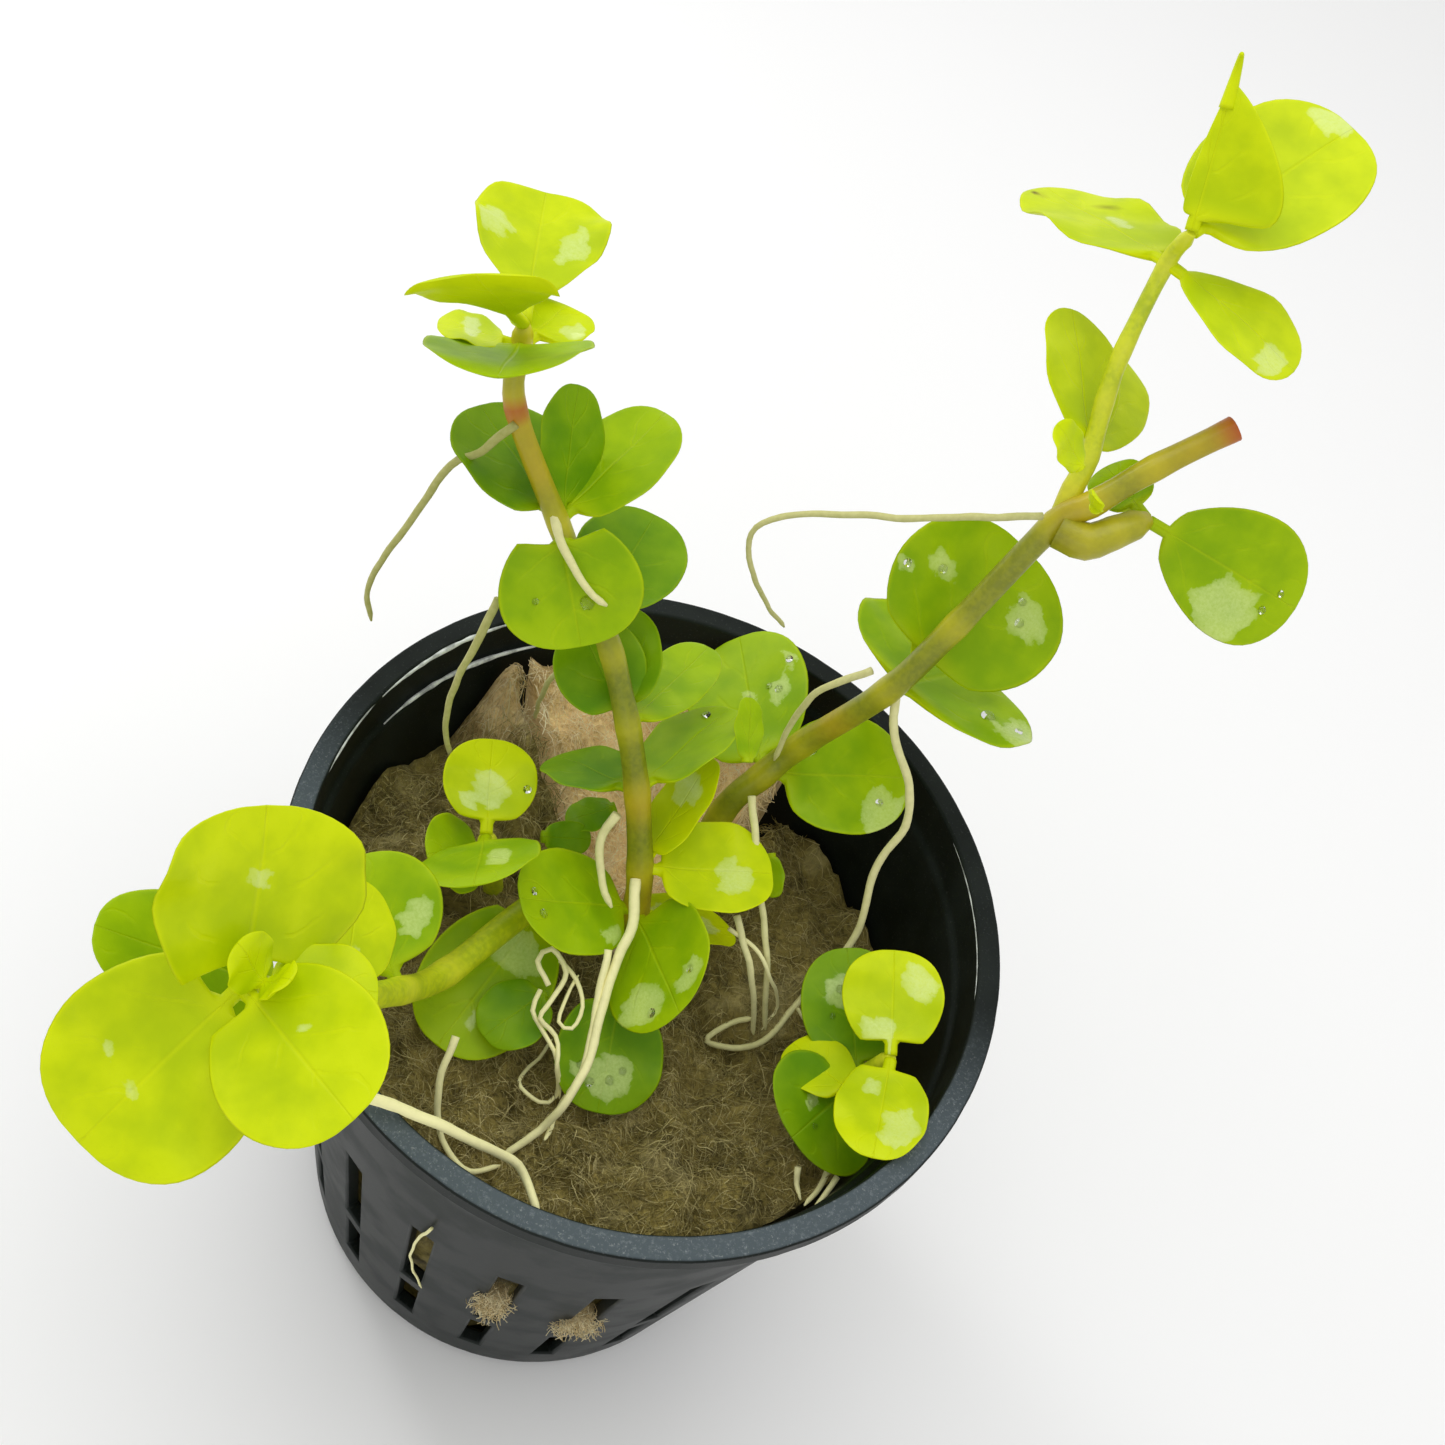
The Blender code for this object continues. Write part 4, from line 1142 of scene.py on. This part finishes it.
# %% Roots
# Each root: radius, age from 0 to 1, and its points.
ROOTS = {
    "front_long": (0.4, 0.05, [
        (-1.5, 0.1, 50), (-0.2, -2.8, 49), (-0.1, -5.1, 48), (0.5, -8.3, 47), (1.2, -11.3, 46),
        (1.2, -14.6, 45), (0.4, -16.4), (-1, -18.7)]),
    "front_short": (0.28, 0.05, [
        (-0.9, -5.1, 48.5), (0.1, -8.4, 46.8), (0.6, -9.7, 46.2), (1.2, -12.7, 45), (0.9, -13.2),
        (1, -16.9)]),
    "tangle_a": (0.2, 0, [
        (-3.5, -8.8, 47), (-4.9, -7.8, 47.5), (-4.4, -6.5, 47.5), (-2.8, -7.3, 47),
        (-2.8, -9.4, 46.5), (-3, -10.8, 46), (-1.5, -10.9, 45), (-0.5, -12.6, 44.6), (0.4, -12.9),
        (-0.4, -14), (-2.4, -13.3), (-1.9, -10.5), (-1.7, -8.9)]),
    "tangle_b": (0.18, 0, [
        (-3.6, -6.7, 47), (-2, -7.2, 46.5), (-0.7, -8.6, 46), (-0.7, -10.2, 45.5),
        (-1.8, -10.2, 45.5), (-2.1, -8.3, 46), (-2, -6.8, 46.5)]),
    "tangle_c": (0.18, 0.05, [
        (-3.9, -9.1, 46.5), (-3.7, -10.5, 46), (-2.2, -11.2, 45), (-0.7, -12.2, 44.4),
        (0.7, -12.9)]),
    "front_left": (0.27, 0.1, [
        (-7.4, -15.1, 46.5), (-7, -17.7, 45), (-5.1, -20), (-2.6, -21), (-0.9, -19.1)]),
    "rim_runner": (0.42, 0, [
        (-10.4, -23.7, 51.4), (-8, -23, 50.9), (-5.3, -22.5, 50.2), (-2.6, -21.7, 48.4),
        (-0.4, -20.9, 46.6), (1, -21.2, 45.6), (2.8, -22.9, 46)]),
    "right_hanger": (0.33, 0.3, [
        (9.1, 15.7, 62.5), (10.3, 14.3, 60), (13.1, 13.1, 57), (14.2, 11.9, 54), (13.9, 9.9, 50),
        (14.9, 7.3, 46), (14.4, 4.9, 43), (13.7, 4.5), (12.7, 0.5), (11.2, -1), (8.6, -2),
        (9.6, -0.2), (11, 1)]),
    "middle_right": (0.28, 0.15, [(6.2, 2.4, 48), (8.9, 0.4, 45.5), (11.6, 0)]),
    "middle_thick": (0.3, 0.3, [
        (3.3, 8.9, 53), (5.4, 6.6, 50.5), (7.5, 4.2, 48), (9.6, 1.8, 45.5), (12.1, 0.6)]),
    "middle_thin": (0.17, 0, [
        (6, 1.5, 47.5), (8.4, 1.6, 46.5), (10.3, 1.1, 45), (12.2, 2.3), (12, 0.5)]),
    "right_crossing": (0.15, 0.3, [(13.5, 4), (15.5, 2.8), (17.1, 2.3)]),
    "stem_side": (0.36, 0.3, [(-4.6, 1.6, 54), (-4.8, 0.2, 52), (-3.3, -1.7, 50.3), (-2, -2.7, 49.8)]),
    "back_drop": (0.24, 0.75, [(-12.5, 8.5, 60), (-13.6, 9.2, 53), (-14.1, 11.9)]),
    "left_drop": (0.3, 0.85, [
        (-17.5, 3.9, 67), (-17.8, 2.2, 63.5), (-18.2, 1.2, 58), (-17.6, 0.8, 54),
        (-16.8, 0.8, 52)]),
    "behind_right": (0.3, 0.6, [(6.7, 14, 65.5), (4.1, 12.9, 62), (3.6, 12.8, 58), (3.7, 11.9, 54)]),
    "high_left": (0.3, 0.9, [
        (-20.5, 7.6, 79), (-22, 6.9, 76), (-23.6, 6.5, 74), (-24.7, 5.1, 69.5), (-25.7, 3.7, 66),
        (-26.3, 3.4, 62), (-25.6, 3.4, 59)]),
    "fork_hanger": (0.26, 0.7, [
        (11.8, 20.5, 79.5), (8.2, 18.4, 79), (3.9, 16.3, 78), (0, 15.5, 76.5), (-3.4, 14.3, 75),
        (-4.6, 13.5, 73), (-3.4, 13.1, 70), (-1.7, 14.7, 66), (0, 16, 63)]),
    "sprout_a": (0.24, 0, [(17.5, -10.3), (18, -11.1), (18.6, -12.2)]),
    "sprout_b": (0.22, 0, [(19.6, -9.3), (19.5, -10.5), (19, -12.5)]),
    "sprout_c": (0.22, 0, [(20.3, -9.8), (20, -11.2), (19.5, -12.7)]),
    "sprout_d": (0.16, 0, [(21.1, -10.1), (20.9, -11.2), (20.3, -12.3)]),
    "crease": (0.34, 0.3, [
        (-16.5, 7.3, 73.4), (-15, 6.2, 72.2), (-13.3, 5.3, 71.3), (-11.8, 4.8, 70.7),
        (-10.7, 4.8, 70.5)]),
    "slot_root": (0.13, 0.2, [
        (-3.2, -23.5, 36.5), (-4, -22.4, 28.8), (-3.5, -21.6, 22), (-2.3, -21.2, 18)]),
}
ROOT_STEP = 0.6
ROOT_LIFT = 0.4
ROOT_WANDER = 0.14
OUTSIDE_ROOTS = ("slot_root", "rim_runner")


def wander_at(spot):
    """Three noises from places far apart, as one vector that is the same in each run."""
    return Vector([noise.noise(spot + Vector((0, 0, shift))) for shift in (0, 31.7, 63.4)])


for name, (radius, root_age, spots) in ROOTS.items():
    settled = [(x, y, *(level or [wool_level(x, y) + ROOT_LIFT])) for x, y, *level in spots]
    chance = random.Random(f"root {name}")
    route = [point for point, _ in smooth_route(settled, ROOT_STEP)]
    phase = chance.uniform(0, 9)
    route = [point + ROOT_WANDER * wander_at(point / 2.2 + Vector((phase, 0, 0))) for point in route]
    if name not in OUTSIDE_ROOTS:
        for point in route:
            point.z = max(point.z, wool_level(point.x, point.y) + radius * 0.6)
    last = len(route) - 1
    radii = [radius * (1 - 0.35 * i / last) * (1 + 0.1 * noise.noise(point * 1.5))
             for i, point in enumerate(route)]
    radii[-1] *= 0.4
    thread = Maker()
    tube(thread, route, radii, 8, age=root_age)
    thread.piece(f"root_{name}", root_material, "stem_young")
print(len(ROOTS), "roots")

# %% [markdown]
# ## Curled tip
# The youngest folded leaf ends in a nub that curls back. A short tapering tube, started at the
# leaf's own tip and turned with the same frame, is enough for it.

# %% Curled tip
place, axes, _, length, _, _, _ = leaf_frames["upper_6"]
curl = Maker()
curl_route = [place + axes @ Vector((length + along, 0.0, lift))
              for along, lift in ((-1.6, 0.0), (-0.6, 0.0), (0.3, 0.05), (1.0, 0.3), (1.5, 0.75), (1.6, 1.2))]
curl_path = [point for point, _ in smooth_route(curl_route, 0.25)]
tube(curl, curl_path, [0.5 - 0.022 * i for i in range(len(curl_path))], 12, along=0.9)
curl.piece("curled_tip", leaf_materials["young"], "leaf_young")
print("curled tip at", [round(v, 1) for v in curl_route[-1]])

# %% [markdown]
# ## Rockwool in the slots
# Where the packing was pushed against the wall, some of it stands out through the slots. Each tuft
# is a knot of short fibres around a small lump, set against the outside of the wall.

# %% Rockwool in the slots
# Each tuft: its spot, then its half width and half height.
SLOT_TUFTS = ((3.0, -21.7, 23.2, 1.1, 2.3), (9.6, -19.6, 21.6, 1.6, 1.7))
TUFT_FIBRES = 420


def any_way(chance):
    """A vector that points anywhere."""
    return Vector([chance.uniform(-1, 1) for _ in range(3)])


for number, (x, y, z, wide, tall) in enumerate(SLOT_TUFTS):
    chance = random.Random(f"tuft {number}")
    bearing = bearing_of(x, y)
    out_way, aside = turn(bearing, 1, 0), turn(bearing + 90, 1, 0)
    centre = turn(bearing, wall_radius(z) - 0.35, z)
    knot = Maker()
    for _ in range(TUFT_FIBRES):
        swing, climb, push = chance.uniform(-1, 1), chance.uniform(-1, 1), chance.uniform(0, 1)
        start = centre + aside * (swing * wide) + Vector((0, 0, climb * tall)) + out_way * (push * 0.7)
        lean = any_way(chance).normalized()
        if (start + lean * 0.8 - centre).dot(out_way) < -0.6:
            lean = -lean
        bow = any_way(chance) * 0.25
        route = [start + lean * (0.9 * t) + bow * (4 * t * (1 - t)) for t in (0, 0.33, 0.66, 1)]
        tube(knot, route, [0.03] * 4, 3, shade=chance.random(), dry=0.8)
    tube(knot, [centre - out_way * 0.9, centre - out_way * 0.2, centre + out_way * 0.25],
         [wide * 0.8, wide * 0.9, wide * 0.4], 10, shade=0.3, dry=0.8)
    knot.piece(f"slot_tuft_{number + 1}", wool_materials["wet"], "rockwool_wet")
print(len(SLOT_TUFTS), "tufts in the slots")

# %% [markdown]
# ## Highlight lines on the pot
# A thin line runs along the two edges inside the rim, at the back left and a little at the right.
# It is a painted highlight that draws the bright arcs there: each line is a thin bead on its edge,
# painted pale, glossy and glowing a little, with dark breaks.

# %% Highlight lines on the pot
# The pale tone and faint glow of these lines are painted highlight, not the colour of water.
sheen = Finish("painted_highlight_edge", Roughness=0.12, Specular_IOR_Level=0.8, Emission_Strength=0.1)
sheen_breaks = sheen.cloud(1.3, 4.0).rise(0.35, 0.6)
sheen_material = sheen.set(Base_Color=sheen.mix(sheen_breaks, (0.12, 0.14, 0.11), (0.62, 0.66, 0.62)))
# Each line: radius and level, first and last bearing, and thickness.
HIGHLIGHT_LINES = {
    "upper": (RIM_BORE - 0.02, POT_HEIGHT - 0.25, 138, 170, 0.2),
    "upper_end": (RIM_BORE - 0.02, POT_HEIGHT - 0.25, 172, 188, 0.11),
    "lower": (RIM_BORE - BORE_DRAFT - 0.35, step_level - 0.1, 132, 170, 0.2),
    "right": (RIM_BORE - 0.02, POT_HEIGHT - 0.25, 8, 40, 0.06),
}
LINE_STEPS = 60
for name, (radius, level, start, stop, size) in HIGHLIGHT_LINES.items():
    line = Maker()
    arc = [turn(start + (stop - start) * i / LINE_STEPS, radius, level) for i in range(LINE_STEPS + 1)]
    thick = [size * (0.25 + 0.75 * sin(pi * i / LINE_STEPS)) * (1 + 0.4 * noise.noise(place))
             for i, place in enumerate(arc)]
    tube(line, arc, thick, 8)
    line.piece(f"wet_line_{name}", sheen_material, "pot")
print(len(HIGHLIGHT_LINES), "wet lines")

# %% [markdown]
# ## Droplets
# A few beads of water sit on the blades. Each is half a flattened ball of clear water, placed on
# its leaf by the same two numbers that draw the veins: how far along, and how far across.

# %% Droplets
DROPLETS = {
    "tall_10": [(0.6, 0.2, 0.5), (0.5, -0.5, 0.25)], "tall_14": [(0.83, 0.4, 0.4)],
    "right_3": [(0.51, -0.57, 0.55), (0.62, -0.85, 0.3)], "right_2": [(0.23, 0.49, 0.4), (0.74, -0.5, 0.3)],
    "right_1": [(0.45, -0.5, 0.35), (0.5, -0.35, 0.3), (0.64, -0.79, 0.3), (0.46, 0.01, 0.3)],
    "centre_1": [(0.4, -0.8, 0.3)], "tall_20": [(0.8, 0.3, 0.35), (0.85, -0.2, 0.3)],
    "tall_21": [(0.7, 0.1, 0.35), (0.6, 0.3, 0.3), (0.75, -0.3, 0.35), (0.62, -0.5, 0.3)],
    "right_4": [(0.5, 0.5, 0.35), (0.6, -0.5, 0.35), (0.72, -0.4, 0.3), (0.36, 0.85, 0.3)],
    "sprout_3": [(0.63, 0.2, 0.35), (0.4, 0.4, 0.25)], "sprout_4": [(0.5, -0.2, 0.35), (0.65, 0.1, 0.25)],
    "side_1": [(0.8, -0.3, 0.3), (0.85, 0.1, 0.25)], "tall_19": [(0.75, 0.5, 0.3), (0.8, -0.5, 0.35)],
}
BEAD_HEIGHT = 0.55
BEAD_CLIMBS = (0, 25, 50, 72)
BEAD_SIDES = 16
beads = Maker()
for name, spots in DROPLETS.items():
    place, axes, blade, length, width, form, wander = leaf_frames[name]
    for s, t, size in spots:
        x, y = blade + (length - blade) * s, t * half_width(s, form, width)
        foot = leaf_height(y, s, length - blade, width, form, wander) + BLADE_THICKNESS * 0.4
        rings = []
        for climb in BEAD_CLIMBS:
            across, lift = size * cos(radians(climb)), BEAD_HEIGHT * size * sin(radians(climb))
            angles = [2 * pi * k / BEAD_SIDES for k in range(BEAD_SIDES)]
            ring = [Vector((x + across * cos(a), y + across * sin(a), foot + lift)) for a in angles]
            rings.append([beads.point(place + axes @ spot) for spot in ring])
        for lower, upper in zip(rings, rings[1:]):
            beads.bridge(lower, upper)
        beads.ends(rings)
beads.piece("water_beads", water_material, "leaf_green")
print(sum(len(spots) for spots in DROPLETS.values()), "droplets")

# %% Sizes
dressed_box = [list(corner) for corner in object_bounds()]
growth = [[round((b - a) / MM, 1) for a, b in zip(*corners)] for corners in zip(solid_box, dressed_box)]
print("dressed box less solid box, mm", growth)
